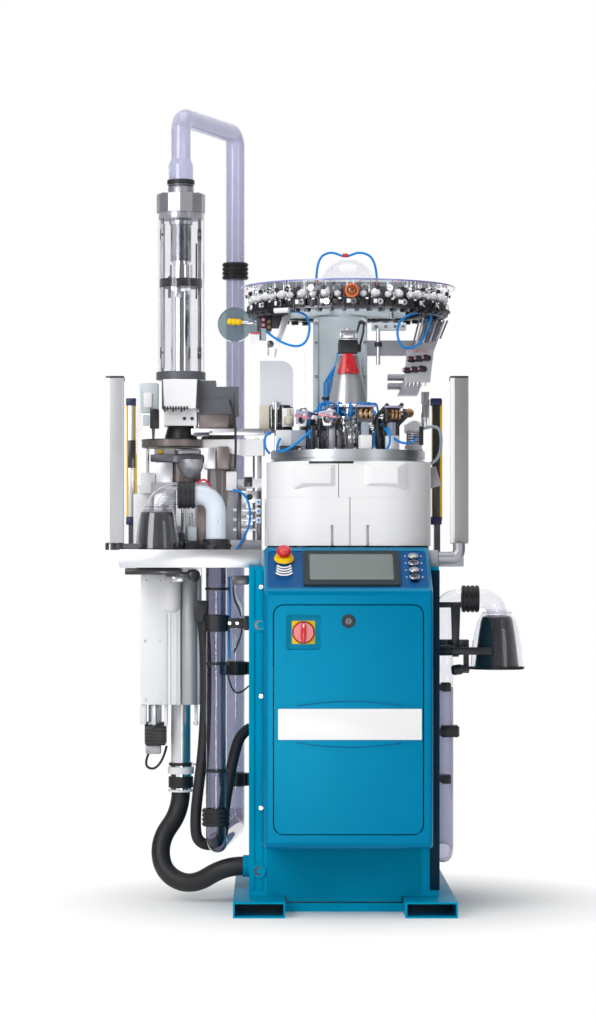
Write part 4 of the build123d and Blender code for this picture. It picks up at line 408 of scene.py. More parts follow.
def sweep_rings(path, radius, sides):
    """Rings of points square to a path, carried along it without twist."""
    rings = []
    along = (path[1] - path[0]).normalized()
    side = along.orthogonal().normalized()
    for step, place in enumerate(path):
        ahead = (path[min(step + 1, len(path) - 1)] - path[max(step - 1, 0)]).normalized()
        side = (along.rotation_difference(ahead) @ side).normalized()
        along = ahead
        up = along.cross(side)
        turns = [2 * math.pi * turn / sides for turn in range(sides)]
        rings.append([place + radius * (math.cos(a) * side + math.sin(a) * up) for a in turns])
    return rings


def rounded_outline(width, height, corner, steps=6):
    """A rectangle about its middle with round corners."""
    points = []
    for turn, (sx, sy) in enumerate(((1, 1), (-1, 1), (-1, -1), (1, -1))):
        for step in range(steps + 1):
            angle = math.pi / 2 * (turn + step / steps)
            points.append((sx * (width / 2 - corner) + corner * math.cos(angle),
                           sy * (height / 2 - corner) + corner * math.sin(angle)))
    return points


def arc_band(radius, width, start, end, steps=18):
    """A flat curved band, as an outline."""
    turns = [math.radians(start + (end - start) * step / steps) for step in range(steps + 1)]
    outer = [(radius * math.cos(a), radius * math.sin(a)) for a in turns]
    inner = [((radius - width) * math.cos(a), (radius - width) * math.sin(a)) for a in reversed(turns)]
    return outer + inner


# Copies by geometry nodes


def copies_tree(name, inputs):
    tree = bpy.data.node_groups.new(name, "GeometryNodeTree")
    for label, kind in inputs:
        tree.interface.new_socket(label, in_out="INPUT", socket_type=kind)
    tree.interface.new_socket("Geometry", in_out="OUTPUT", socket_type="NodeSocketGeometry")
    return tree, tree.nodes.new("NodeGroupInput"), tree.nodes.new("NodeGroupOutput")


def end_tree(tree, given, out, points, turn):
    item = tree.nodes.new("GeometryNodeObjectInfo")
    spread_out = tree.nodes.new("GeometryNodeInstanceOnPoints")
    real = tree.nodes.new("GeometryNodeRealizeInstances")
    finish = tree.nodes.new("GeometryNodeSetMaterial")
    link = tree.links.new
    link(given.outputs["Item"], item.inputs["Object"])
    link(points, spread_out.inputs["Points"])
    link(item.outputs["Geometry"], spread_out.inputs["Instance"])
    link(turn, spread_out.inputs["Rotation"])
    link(spread_out.outputs[0], real.inputs[0])
    link(real.outputs[0], finish.inputs["Geometry"])
    link(given.outputs["Finish"], finish.inputs["Material"])
    link(finish.outputs[0], out.inputs[0])


def ring_tree():
    """Copies of one item round an upright axis."""
    inputs = (("Item", "NodeSocketObject"), ("Finish", "NodeSocketMaterial"), ("Copies", "NodeSocketInt"),
              ("Radius", "NodeSocketFloat"), ("Height", "NodeSocketFloat"), ("Start", "NodeSocketFloat"))
    tree, given, out = copies_tree("copies_round_an_axis", inputs)
    link = tree.links.new
    circle = tree.nodes.new("GeometryNodeMeshCircle")
    link(given.outputs["Copies"], circle.inputs["Vertices"])
    link(given.outputs["Radius"], circle.inputs["Radius"])
    lift = tree.nodes.new("ShaderNodeCombineXYZ")
    link(given.outputs["Height"], lift.inputs["Z"])
    start = tree.nodes.new("ShaderNodeCombineXYZ")
    link(given.outputs["Start"], start.inputs["Z"])
    moved = tree.nodes.new("GeometryNodeTransform")
    link(circle.outputs[0], moved.inputs["Geometry"])
    link(lift.outputs[0], moved.inputs["Translation"])
    link(start.outputs[0], moved.inputs["Rotation"])
    number = tree.nodes.new("GeometryNodeInputIndex")
    step = tree.nodes.new("ShaderNodeMath")
    step.operation = "DIVIDE"
    step.inputs[0].default_value = 2 * math.pi
    link(given.outputs["Copies"], step.inputs[1])
    angle = tree.nodes.new("ShaderNodeMath")
    angle.operation = "MULTIPLY_ADD"
    link(number.outputs[0], angle.inputs[0])
    link(step.outputs[0], angle.inputs[1])
    link(given.outputs["Start"], angle.inputs[2])
    turn = tree.nodes.new("ShaderNodeCombineXYZ")
    link(angle.outputs[0], turn.inputs["Z"])
    end_tree(tree, given, out, moved.outputs[0], turn.outputs[0])
    return tree


def places_tree():
    """Copies of one item at given places, each facing its own way."""
    inputs = (("Geometry", "NodeSocketGeometry"), ("Item", "NodeSocketObject"),
              ("Finish", "NodeSocketMaterial"))
    tree, given, out = copies_tree("copies_at_places", inputs)
    facing = tree.nodes.new("GeometryNodeInputNamedAttribute")
    facing.data_type = "FLOAT_VECTOR"
    facing.inputs["Name"].default_value = "facing"
    turn = tree.nodes.new("FunctionNodeAlignRotationToVector")
    turn.axis = "Z"
    tree.links.new(facing.outputs["Attribute"], turn.inputs["Vector"])
    end_tree(tree, given, out, given.outputs["Geometry"], turn.outputs[0])
    return tree


RING_TREE = ring_tree()
PLACES_TREE = places_tree()


def arrange(name, tree, item, finish, body="frame", places=(), **settings):
    """Runs a copies tree once and keeps the result as a plain mesh on its body."""
    seeds = bpy.data.meshes.new(name)
    seeds.from_pydata([Vector(place) * MM for place, way in places], [], [])
    if places:
        facing = seeds.attributes.new("facing", "FLOAT_VECTOR", "POINT")
        for entry, (place, way) in zip(facing.data, places):
            entry.vector = way
    made = bpy.data.objects.new(name, seeds)
    bpy.context.scene.collection.objects.link(made)
    copies = made.modifiers.new("copies", "NODES")
    copies.node_group = tree
    settings.update(Item=item, Finish=finish)
    for socket in tree.interface.items_tree:
        if socket.in_out == "INPUT" and socket.name in settings:
            copies[socket.identifier] = settings[socket.name]
    bpy.context.view_layer.update()
    mesh = bpy.data.meshes.new_from_object(made.evaluated_get(bpy.context.evaluated_depsgraph_get()))
    made.modifiers.clear()
    made.data = mesh
    bpy.data.meshes.remove(seeds)
    mesh.set_sharp_from_angle(angle=SHARP_ANGLE)
    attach(made, body)
    bpy.data.objects.remove(item)
    return made


def round_copies(name, finish, copies, radius, height, start, *shapes, body="frame"):
    """Copies of a detail round the machine's axis; each shape is a method name and its values."""
    item = Assembly("detail")
    for kind, *values in shapes:
        getattr(item, kind)(finish, *values)
    return arrange(name, RING_TREE, item.loose(), finish, body, Copies=copies, Radius=radius * MM,
                   Height=height * MM, Start=math.radians(start))


def screws(name, radius, height, places, body="frame"):
    """Cap screws with a sunk socket; each place has the way that its head faces."""
    screw = Assembly("screw_head")
    socket = radius * 0.5
    profile = ((0, height * 0.4), (socket, height * 0.45), (socket, height), (radius * 0.85, height),
               (radius, height * 0.85), (radius, 0), (0, 0))
    screw.turned(STEEL, profile, (0, 0, 0), sides=16)
    return arrange(name, PLACES_TREE, screw.loose(), STEEL, body, places)


# Cords and air tubes


def cord(name, points, radius, finish):
    """A free cord through its points, given in millimetres, as one curve with round section."""
    curve = bpy.data.curves.new(name, "CURVE")
    curve.dimensions = "3D"
    curve.resolution_u = 10
    spline = curve.splines.new("NURBS")
    spline.points.add(len(points) - 1)
    for knot, place in zip(spline.points, points):
        knot.co = (*(Vector(place) * MM), 1)
    spline.order_u = 3
    spline.use_endpoint_u = True
    curve.use_fill_caps = True
    curve.materials.append(finish)
    made = bpy.data.objects.new(name, curve)
    bpy.context.scene.collection.objects.link(made)
    bpy.context.view_layer.update()
    line = bpy.data.meshes.new_from_object(made.evaluated_get(bpy.context.evaluated_depsgraph_get()))
    bpy.data.meshes.remove(line)
    curve.bevel_depth = radius * MM
    curve.bevel_resolution = 6
    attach(made, "frame")
    return made


# Camera, floor and light


def camera():
    eye = bpy.data.cameras.new("photo_camera")
    eye.lens = PHOTO_FOCAL * SENSOR / PHOTO_LONG_SIDE
    eye.sensor_width = SENSOR
    eye.shift_x, eye.shift_y = CAMERA_SHIFT
    eye.clip_end = 60
    made = bpy.data.objects.new("photo_camera", eye)
    made.location = Vector(CAMERA_PLACE) * MM
    made.rotation_euler = (math.pi / 2, 0, 0)
    bpy.context.scene.collection.objects.link(made)
    bpy.context.scene.camera = made


def seen_directly(tree):
    """One where a ray from the camera, a mirror or a clear wall arrives, and nothing where light falls."""
    path = tree.nodes.new("ShaderNodeLightPath")
    total = path.outputs["Is Camera Ray"]
    for ray in ("Is Glossy Ray", "Is Transmission Ray"):
        both = tree.nodes.new("ShaderNodeMath")
        both.operation = "MAXIMUM"
        tree.links.new(total, both.inputs[0])
        tree.links.new(path.outputs[ray], both.inputs[1])
        total = both.outputs[0]
    return total


def floor():
    """A pale floor that keeps the shadow near the feet and turns white farther out."""
    material, tree, shader = new_material("pale_floor")
    shader.inputs["Base Color"].default_value = (0.9, 0.9, 0.9, 1)
    shader.inputs["Roughness"].default_value = 0.9
    shader.inputs["Specular IOR Level"].default_value = 0.0
    place = tree.nodes.new("ShaderNodeTexCoord").outputs["Object"]
    far = tree.nodes.new("ShaderNodeVectorMath")
    far.operation = "LENGTH"
    tree.links.new(place, far.inputs[0])
    fade = node(tree, "ShaderNodeMapRange", From_Min=SHADOW_NEAR, From_Max=SHADOW_FAR)
    tree.links.new(far.outputs["Value"], fade.inputs["Value"])
    white = node(tree, "ShaderNodeEmission", Strength=1.0)
    share = tree.nodes.new("ShaderNodeMath")
    share.operation = "MULTIPLY"
    tree.links.new(fade.outputs[0], share.inputs[0])
    tree.links.new(seen_directly(tree), share.inputs[1])
    blend = tree.nodes.new("ShaderNodeMixShader")
    tree.links.new(share.outputs[0], blend.inputs[0])
    tree.links.new(shader.outputs[0], blend.inputs[1])
    tree.links.new(white.outputs[0], blend.inputs[2])
    tree.links.new(blend.outputs[0], tree.nodes["Material Output"].inputs["Surface"])
    mesh = bpy.data.meshes.new("floor")
    half = FLOOR_HALF
    corners = [(-half, -half, 0), (half, -half, 0), (half, half, 0), (-half, half, 0)]
    mesh.from_pydata(corners, [], [(0, 1, 2, 3)])
    mesh.materials.append(material)
    made = bpy.data.objects.new("floor", mesh)
    bpy.context.scene.collection.objects.link(made)


def world():
    """White where it is looked at, a dimmer room behind the camera in mirrors, and a soft even light."""
    made = bpy.data.worlds.new("studio")
    made.use_nodes = True
    tree = made.node_tree
    back = tree.nodes["Background"]
    back.inputs["Color"].default_value = (1, 1, 1, 1)
    way = tree.nodes.new("ShaderNodeSeparateXYZ")
    tree.links.new(tree.nodes.new("ShaderNodeTexCoord").outputs["Generated"], way.inputs[0])
    room = node(tree, "ShaderNodeMapRange", From_Min=-0.75, From_Max=0.35, To_Min=ROOM_LEVEL, To_Max=1.0)
    tree.links.new(way.outputs["Y"], room.inputs["Value"])
    path = tree.nodes.new("ShaderNodeLightPath")
    mirror = node(tree, "ShaderNodeMix", A=1.0)
    tree.links.new(path.outputs["Is Glossy Ray"], mirror.inputs["Factor"])
    tree.links.new(room.outputs[0], mirror.inputs["B"])
    strength = node(tree, "ShaderNodeMix", A=WORLD_LEVEL)
    tree.links.new(seen_directly(tree), strength.inputs["Factor"])
    tree.links.new(mirror.outputs[0], strength.inputs["B"])
    tree.links.new(strength.outputs[0], back.inputs["Strength"])
    bpy.context.scene.world = made


def lamp(name, place, aim, size, power):
    light = bpy.data.lights.new(name, "AREA")
    light.shape = "RECTANGLE"
    light.size, light.size_y = size
    light.energy = power
    made = bpy.data.objects.new(name, light)
    made.location = place
    made.rotation_euler = (Vector(aim) - Vector(place)).to_track_quat("-Z", "Y").to_euler()
    made.visible_camera = False
    bpy.context.scene.collection.objects.link(made)


def flag(name, x, y, z):
    """A black card beside the machine, seen only in its bright metal."""
    mesh = bpy.data.meshes.new(name)
    corners = [(x, y[0], z[0]), (x, y[1], z[0]), (x, y[1], z[1]), (x, y[0], z[1])]
    mesh.from_pydata(corners, [], [(0, 1, 2, 3)])
    mesh.materials.append(SATIN_BLACK)
    made = bpy.data.objects.new(name, mesh)
    bpy.context.scene.collection.objects.link(made)
    made.visible_camera = False
    made.visible_diffuse = False
    made.visible_shadow = False
    made.visible_transmission = False


def studio():
    bpy.context.scene.view_settings.view_transform = "Standard"
    camera()
    floor()
    world()
    for name, values in LAMPS.items():
        lamp(name, *values)
    for name, x in FLAGS.items():
        flag(name, x, FLAG_DEPTH, FLAG_HEIGHT)


# Finishes of the CAD pieces


def dress(name, finish, *patches):
    """Gives a CAD piece its finish, and other finishes to the faces inside ranges of x, y and z."""
    mesh = nodes[name].data
    mesh.materials.clear()
    mesh.materials.append(finish)
    for other, *ranges in patches:
        mesh.materials.append(other)
        inside = len(mesh.materials) - 1
        for face in mesh.polygons:
            middle = face.center / MM
            if all(low <= place <= high for (low, high), place in zip(ranges, middle)):
                face.material_index = inside


ALL = (-9999, 9999)


def dress_cad():
    plain = {
        # The plinth panel takes the darker teal copy: painted shade under the hood
        "base_frame": TEAL, "cabinet_shell": TEAL, "plinth_panel": SHADED_PLINTH_TEAL, "front_hood": HOOD_TEAL,
        "front_door": HOOD_TEAL, "control_panel": DESK_BLUE, "display": BEZEL, "estop_button": RED,
        "switch_handle": RED, "door_lock": BLACK, "push_button_1": WHITE, "push_button_2": BLACK,
        "push_button_3": WHITE, "push_button_4": BLACK, "control_rack": ZINC, "main_motor": MOTOR_GREY,
        "motor_pulley": STEEL, "drive_belt": RUBBER, "bed_base": CAST, "bed_plate": BED_STEEL,
        "needle_cylinder": STEEL, "cam_ring": STEEL, "skirt_upper": WHITE, "skirt_door_left": WHITE,
        "skirt_door_right": WHITE, "dial": CHROME, "dial_motor": BLACK, "dial_guard": RED, "mast": MAST_GREY,
        "yarn_guides": CERAMIC, "ring_disc": CLEAR_DISC, "finger_magazine": CAST,
        "finger_units": DARK_STEEL, "table": PLATE_ALUMINIUM, "linking_dial": DARK_STEEL,
        "transfer_frame": PLATE_ALUMINIUM, "toe_motor_box": MOTOR_GREY, "toe_cover": WHITE,
        "toe_guard": CLEAR_GUARD, "sock_hose": RUBBER, "top_tube": CLEAR_TUBE, "drop_tube": VIOLET_TUBE,
        "side_tube": CLEAR_TUBE, "suction_bells": SMOKED, "tube_couplings": BLACK, "left_flap": BLACK,
        "right_flap": BLACK,
    }
    for name, finish in plain.items():
        dress(name, finish)
    dress("toe_cap", CAST, (TUBE_STEEL, ALL, ALL, (1500, 1972)))
    dress("toe_base", DARK_STEEL, (BLACK, ALL, ALL, (1300, 1373)), (ALUMINIUM, ALL, ALL, (1504, 1530)))
    dress("slide_tube", CHROME, (BLACK, ALL, ALL, (1765, 1800)))
    dress("transfer_arm", WHITE, (TAUPE, (-620, -405), ALL, (1312, 1334)))
    dress("lower_housing", WHITE, (ALUMINIUM, (-480, -420), ALL, (560, 1010)),
          (CHROME, (-517, -450), ALL, (300, 575)), (BLACK, (-600, -520), ALL, (440, 530)))
    dress("side_motor_cover", COVER_GREY, (CREAM, (-260, -224), ALL, (1357, 1429)),
          (BLACK, (-224, -150), ALL, (1357, 1429)), (DARK_STEEL, ALL, ALL, (1290, 1357)))
    dress("mirror_posts", CAST, (BLACK, ALL, ALL, (1494, 1503)), (DARK_STEEL, (-800, 0), ALL, (960, 1030.5)))
    dress("light_curtains", YELLOW, (NAVY, ALL, ALL, (1436, 1460)), (NAVY, ALL, ALL, (1090, 1112)),
          (DARK_STEEL, ALL, ALL, (960, 1090)))
    dress("bed_boxes", BOX_GREY, (WHITE, (150, 230), ALL, (1356, 1380)),
          (WHITE, (150, 230), ALL, (1290, 1312)))
    dress("yarn_lamp", SMOKED_LENS, (MAST_GREY, (-273, -255), ALL, (1683.5, 1690)))
    dress("yarn_ring", BLACK, (STEEL, ALL, ALL, (1718, 1766)), (DARK_STEEL, ALL, ALL, (1688, 1694.6)))
    dress("toe_column", TAUPE, (CAST, ALL, ALL, (1000, 1210)))
    dress("dial_housing", ALUMINIUM, (MAST_GREY, ALL, (62, 200), ALL))


# The sock hose under the table


def sock_hose():
    points = ((*TOE_AXIS, 317), (*TOE_AXIS, 255), (-546, 26, 173), (-534, -4, 81), (-450, -40, 45),
              (-354, -78, 109), (-302, -78, 109))
    hose = cord("sock_hose_skin", points, SOCK_HOSE_RADIUS, RUBBER)
    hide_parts("sock_hose")


# Clear tubes, couplings and bells


def return_tube():
    """The clear tube from the toe unit over the top and down behind the machine."""
    made = Assembly("return_tube_skin", slot="clear_sheet")
    socket_low, socket_top, top, joint, low, end = 2045.3, 2149, 2271, 1857, 175.5, 252
    made.turned(CLEAR_TUBE, ((33.3, 0), (36, 0), (36, 84), (28.5, 104), (26, 104), (33.3, 84)),
                (*TOE_AXIS, socket_low), sides=48)
    made.pipe(CLEAR_TUBE, ((*TOE_AXIS, socket_top), (*TOE_AXIS, top), (*BACK_TUBE, top), (*BACK_TUBE, joint)),
              TUBE_BEND, TUBE_RADIUS, TUBE_WALL)
    elbow = low + TUBE_BEND + 20
    made.pipe(CLEAR_TUBE, ((*BACK_TUBE, joint), (*BACK_TUBE, elbow)), TUBE_BEND, TUBE_RADIUS, TUBE_WALL)
    made.pipe(VIOLET_TUBE, ((*BACK_TUBE, elbow), (*BACK_TUBE, low), (*DROP_PLACE, low), (*DROP_PLACE, end)),
              TUBE_BEND, TUBE_RADIUS, TUBE_WALL)
    made.done(("top_tube",), casts_shadow=False)
    trim = Assembly("return_tube_trim", slot="rubber_black")
    for z, height, outer, finish in ((2046, 20, 37.5, CAST), (2068, 4, 38.5, DARK_STEEL),
                                     (2074, 14, 40, RUBBER)):
        trim.turned(finish, ((36.1, 0), (outer, 1.5), (outer, height - 1.5), (36.1, height)), (*TOE_AXIS, z))
    for z in (636, 300):
        trim.turned(BLACK, ((TUBE_RADIUS + 0.3, 0), (37, 2), (37, 40), (TUBE_RADIUS + 0.3, 42)),
                    (*BACK_TUBE, z))
        trim.box(BLACK, (-296, -285), (394, 426), (z + 2, z + 40), 2)
    trim.box(BLACK, (-372, -362), (400, 420), (326, 340), 2)
    trim.done()


def drop_tube():
    """The violet tube under the table, the frosted elbow above it and the clear elbow of the left bell."""
    level, collar_top, end = 1169, 1037, 252
    joint_x = (DROP_PLACE[0] + LEFT_BELL[0]) / 2
    made = Assembly("drop_tube_skin", slot="clear_sheet")
    made.pipe(VIOLET_TUBE, ((*DROP_PLACE, end), (*DROP_PLACE, collar_top)), TUBE_BEND, TUBE_RADIUS, TUBE_WALL)
    made.pipe(FROSTED, ((*DROP_PLACE, collar_top), (*DROP_PLACE, level), (joint_x, DROP_PLACE[1], level)),
              TUBE_BEND + 8, TUBE_RADIUS, TUBE_WALL)
    made.pipe(CLEAR_GUARD, ((joint_x, DROP_PLACE[1], level), (*LEFT_BELL, level), (*LEFT_BELL, 1114)),
              TUBE_BEND, TUBE_RADIUS, TUBE_WALL)
    made.done(("drop_tube",), casts_shadow=False)
    trim = Assembly("drop_tube_straps", slot="rubber_black")
    inner, outer = TUBE_RADIUS + 0.3, TUBE_RADIUS + 3
    middle = DROP_PLACE[0]
    for z in (898, 685, 380):
        trim.turned(BLACK, ((inner, 0), (outer, 1), (outer, 6), (inner, 7)), (*DROP_PLACE, z))
        trim.box(BLACK, (middle + outer - 2, middle + outer + 7), (-126, -114), (z - 1, z + 8), 1)
    trim.turned(BLACK, ((inner, 0), (outer + 5, 2), (outer + 5, 46), (inner, 48)), (*DROP_PLACE, 780))
    trim.box(BLACK, (middle + outer + 2, -292), (-132, -104), (790, 818), 2)
    trim.box(BLACK, (-300, -285), (-134, -60), (784, 824), 2)
    for x in (-340, -318):
        trim.rod(STEEL, (x, -134, 804), (x, -140, 804), 5)
    trim.turned(BLACK, ((inner, 0), (42, 2), (42, 16), (38, 19), (38, 30), (inner, 32)),
                (*DROP_PLACE, TABLE_TOP))
    for turn in (-150, -95, -30):
        way = Vector((math.cos(math.radians(turn)), math.sin(math.radians(turn)), 0))
        trim.rod(BLACK, Vector((*DROP_PLACE, TABLE_TOP + 10)) + way * 40,
                 Vector((*DROP_PLACE, TABLE_TOP + 14)) + way * 50, 5, None, 14)
    trim.box(BLACK, (-441, -404), (-118, -70), (806, 868), 4)
    trim.done()


def side_tube():
    """The clear tube from the right bell, down beside the cabinet and to the rear."""
    made = Assembly("side_tube_skin", slot="clear_sheet")
    level, joint, low, back = 871, 614, 130, 180
    over = ((*RIGHT_BELL, 818), (*RIGHT_BELL, level), (*SIDE_TUBE, level), (*SIDE_TUBE, joint))
    made.pipe(CLEAR_GUARD, over, TUBE_BEND, TUBE_RADIUS, TUBE_WALL)
    made.pipe(CLEAR_TUBE, ((*SIDE_TUBE, joint), (*SIDE_TUBE, low), (SIDE_TUBE[0], back, low)), TUBE_BEND,
              TUBE_RADIUS, TUBE_WALL)
    made.done(("side_tube",), casts_shadow=False)


def coupling_ribs():
    """Raised ribs round the rubber couplings of the tubes."""
    made = Assembly("coupling_ribs", slot="rubber_black")
    inner, outer, ribs, length = TUBE_RADIUS + 8.2, TUBE_RADIUS + 11, 4, 50
    middle_x = (DROP_PLACE[0] + LEFT_BELL[0]) / 2
    right_x = (RIGHT_BELL[0] + SIDE_TUBE[0]) / 2
    runs = (((*DROP_PLACE, 227), UP), ((*BACK_TUBE, 1832), UP),
            ((middle_x - length / 2, DROP_PLACE[1], 1169), TO_RIGHT),
            ((right_x - length / 2, RIGHT_BELL[1], 871), TO_RIGHT))
    pitch = length / ribs
    for base, axis in runs:
        for rib in range(ribs):
            start = Vector(base) + Vector(axis) * (rib * pitch + 2)
            made.turned(RUBBER, ((inner, 0), (outer, 1.5), (outer, pitch - 5.5), (inner, pitch - 4)),
                        start, axis)
    made.done()


def bell_shell(made, finish, place, low, profile, wall):
    inner = [(radius - wall, height) for radius, height in reversed(profile)]
    made.turned(finish, list(profile) + inner, (*place, low), sides=56)


def bells():
    """Suction bells: a smoked one at the left, and a clear one with a black cone inside at the right."""
    left = Assembly("left_bell_skin", slot="smoked_plastic")
    bell_shell(left, SATIN_BLACK, LEFT_BELL, TABLE_TOP,
               ((57, 0), (56, 14), (52, 56), (47, 96), (45, 106), (40, 109)), 2.6)
    bell_shell(left, SMOKED, LEFT_BELL, 955, ((58, 0), (58, 56.8)), 2.6)
    left.turned(BLACK, ((62, 0), (66, 1), (66, 4), (62, 5)), (*LEFT_BELL, TABLE_TOP))
    left.done(("suction_bells",))
    dome = Assembly("left_bell_dome", slot="clear_sheet")
    bell_shell(dome, CLEAR_GUARD, LEFT_BELL, TABLE_TOP,
               ((65, 0), (64, 16), (60, 56), (54, 92), (49, 108), (42, 118), (33, 126), (30.4, 130)), 1.8)
    for z, radius in ((1116, 47), (1124, 43), (1132, 38)):
        dome.turned(CLEAR_GUARD, ((radius - 6, 0), (radius, 1), (radius, 3), (radius - 6, 4)),
                    (*LEFT_BELL, z))
    dome.done(casts_shadow=False)
    right = Assembly("right_bell_skin", slot="smoked_plastic")
    bell_shell(right, SATIN_BLACK, RIGHT_BELL, 676,
               ((64, 0), (61, 24), (54, 84), (47, 128), (42, 142), (33, 147)), 3)
    right.turned(BLACK, ((66, 0), (81, 1), (81, 4), (66, 5)), (*RIGHT_BELL, 670))
    right.done()
    cover = Assembly("right_bell_dome", slot="clear_sheet")
    bell_shell(cover, CLEAR_GUARD, RIGHT_BELL, 675.4,
               ((77, 0), (76, 16), (73, 56), (66, 100), (57, 132), (45, 152), (33, 162), (30.4, 165)), 1.8)
    cover.turned(CLEAR_GUARD, ((38, 0), (43, 1), (43, 5), (38, 6)), (*RIGHT_BELL, 828))
    cover.done(casts_shadow=False)


# Cabinet, door and desk


def cabinet_trim():
    """Folded edge, latches and screws of the left column, and plain panels on the hidden sides."""
    made = Assembly("cabinet_trim", slot="teal_paint")
    face, latch_face, column = -262, -264.4, (60, 955)
    made.box(TEAL, (-284, -268), (-265.5, face), column, 1.2)
    made.box(TEAL, (-262, -244), (-264.5, face), column, 1.2)
    # A dark strip down the right column's front: painted shade
    made.box(SHADOW_TEAL, (222, 249.6), (-265, face), column, 1.2)
    for z in (802, 114):
        made.turned(SATIN_BLACK, ((0, 0), (17, 0), (17, 1), (0, 1)), (-256, latch_face, z), TO_FRONT)
        made.turned(TEAL, ((13, 0), (20, 0), (20, 2.6), (17, 4), (13, 2.6)), (-256, latch_face, z), TO_FRONT)
        made.turned(TEAL, ((0, 0), (10, 0), (9, 2.4), (0, 3)), (-252, -265, z), TO_FRONT)
    rear = turned_frame((-18, 330, 500), (-1, 0, 0), UP)
    right = turned_frame((248, 34, 490), TO_BACK, UP)
    made.plate(TEAL, rounded_outline(470, 820, 14), 2.5, rear, 1)
    made.plate(TEAL, rounded_outline(500, 780, 14), 2.5, right, 1)
    # The vent slots are dark strips on the back plate: painted shade in their openings
    louver, pitch = 8, 26
    for step in range(9):
        low = 180 + pitch * step
        made.box(SHADOW_TEAL, (-130, 94), (331.8, 333.2), (low, low + louver), 0.6)
    made.box(TEAL, (-214, 192), (latch_face, face), (72, 182), 1)
    made.done()
    places = [((-250, -264.5, z), TO_FRONT) for z in (908, 603, 290)]
    places += [((x, 332.5, z), TO_BACK) for x in (-235, 199) for z in (110, 890)]
    screws("cabinet_screws", 7, 5, places)
    feet = Assembly("foot_trim", slot="rubber_black")
    for x in (-271, 235):
        for y in (-380, 440):
            feet.turned(RUBBER, ((0, 0), (20, 0), (22, 2), (22, 4), (0, 4)), (x, y, 0.2))
    feet.done()


def door_band(up):
    """The outline of a thin curved line above or below the band."""
    span, sag, width, steps = 144, 12, 2.0, 16
    shares = [step / steps for step in range(steps + 1)]
    line = [(span * (share * 2 - 1), sag * math.sin(math.pi * share)) for share in shares]
    outer = [(u, up * (v + width)) for u, v in line]
    return outer + [(u, up * v) for u, v in reversed(line)]


def door_trim():
    """White band with curved lines, and the plates under the main switch and the lock."""
    made = Assembly("door_trim", "door", "white_cover")
    middle_x, middle_z = -6, 533
    made.plate(FILM, rounded_outline(394, 85, 3), 0.9, front(middle_x, DOOR_FACE + 0.5, middle_z), 0.3)
    for side in (1, -1):
        made.plate(DESK_BLUE, door_band(side), 0.6,
                   front(middle_x, DOOR_FACE + 0.4, middle_z + 50 * side), 0.2)
    x, y, z = SWITCH_PLACE
    made.plate(YELLOW, rounded_outline(64, 64, 3), 3, front(x, y, z), 0.8)
    made.turned(BLACK, ((22, 0), (31, 0), (31, 3), (29, 4), (22, 4)), (x, y - 3, z), TO_FRONT)
    made.turned(BLACK, ((17, 0), (19, 0), (19, 1.6), (18, 2.4), (17, 2.4)),
                (LOCK_X, DOOR_FACE - 0.2, LOCK_HEIGHT), TO_FRONT)
    made.done()


def switch_knob():
    knob = Assembly("switch_knob", "main_switch", "signal_red")
    x, y, z = SWITCH_PLACE
    face = y - 8
    knob.turned(RED, ((0, -4), (29, -4), (29, 6), (27, 8.5), (0, 8.5)), (x, face, z), TO_FRONT, 48)
    knob.plate(RED, rounded_outline(15, 52, 7), 13, front(x, face - 8, z), 3)
    knob.plate(FILM, ((-2, 14), (2, 14), (2, 23), (-2, 23)), 0.8, front(x, face - 20.6, z), 0.2)
    knob.done(("switch_handle",))


def lock_barrel():
    lock = Assembly("lock_barrel", "lock", "black_plastic")
    lock.turned(BLACK, ((0, 0), (16.5, 0), (16.5, 5), (15, 6.5), (0, 6.5)),
                (LOCK_X, DOOR_FACE - 0.3, LOCK_HEIGHT), TO_FRONT)
    lock.turned(DARK_STEEL, ((0, 0), (8, 0), (8, 1.5), (0, 1.5)),
                (LOCK_X, DOOR_FACE - 6.8, LOCK_HEIGHT), TO_FRONT, 24)
    lock.plate(BLACK, rounded_outline(3, 9, 1), 0.8, front(LOCK_X, DOOR_FACE - 8.2, LOCK_HEIGHT), 0.2)
    lock.done(("door_lock",))


SLOPE = 0.53
KEYS = (1, 2, 3, 4)
DESK = turned_frame((-10, -327, 958.5), TO_RIGHT, (0, math.cos(SLOPE), math.sin(SLOPE)))


def desk_height(name):
    """How far a CAD piece stands above the middle of the desk."""
    down = DESK.inverted()
    return max((down @ (vertex.co / MM)).z for vertex in nodes[name].data.vertices)


def desk_place(name):
    """A CAD piece's middle, in the desk's own axes."""
    down = DESK.inverted()
    spots = [down @ (vertex.co / MM) for vertex in nodes[name].data.vertices]
    return [(min(spot[axis] for spot in spots) + max(spot[axis] for spot in spots)) / 2 for axis in (0, 1)]


def on_desk(u, v, height):
    return DESK @ Matrix.Translation((u, v, height))


def desk_axis():
    return DESK.to_3x3() @ Vector((0, 0, 1))


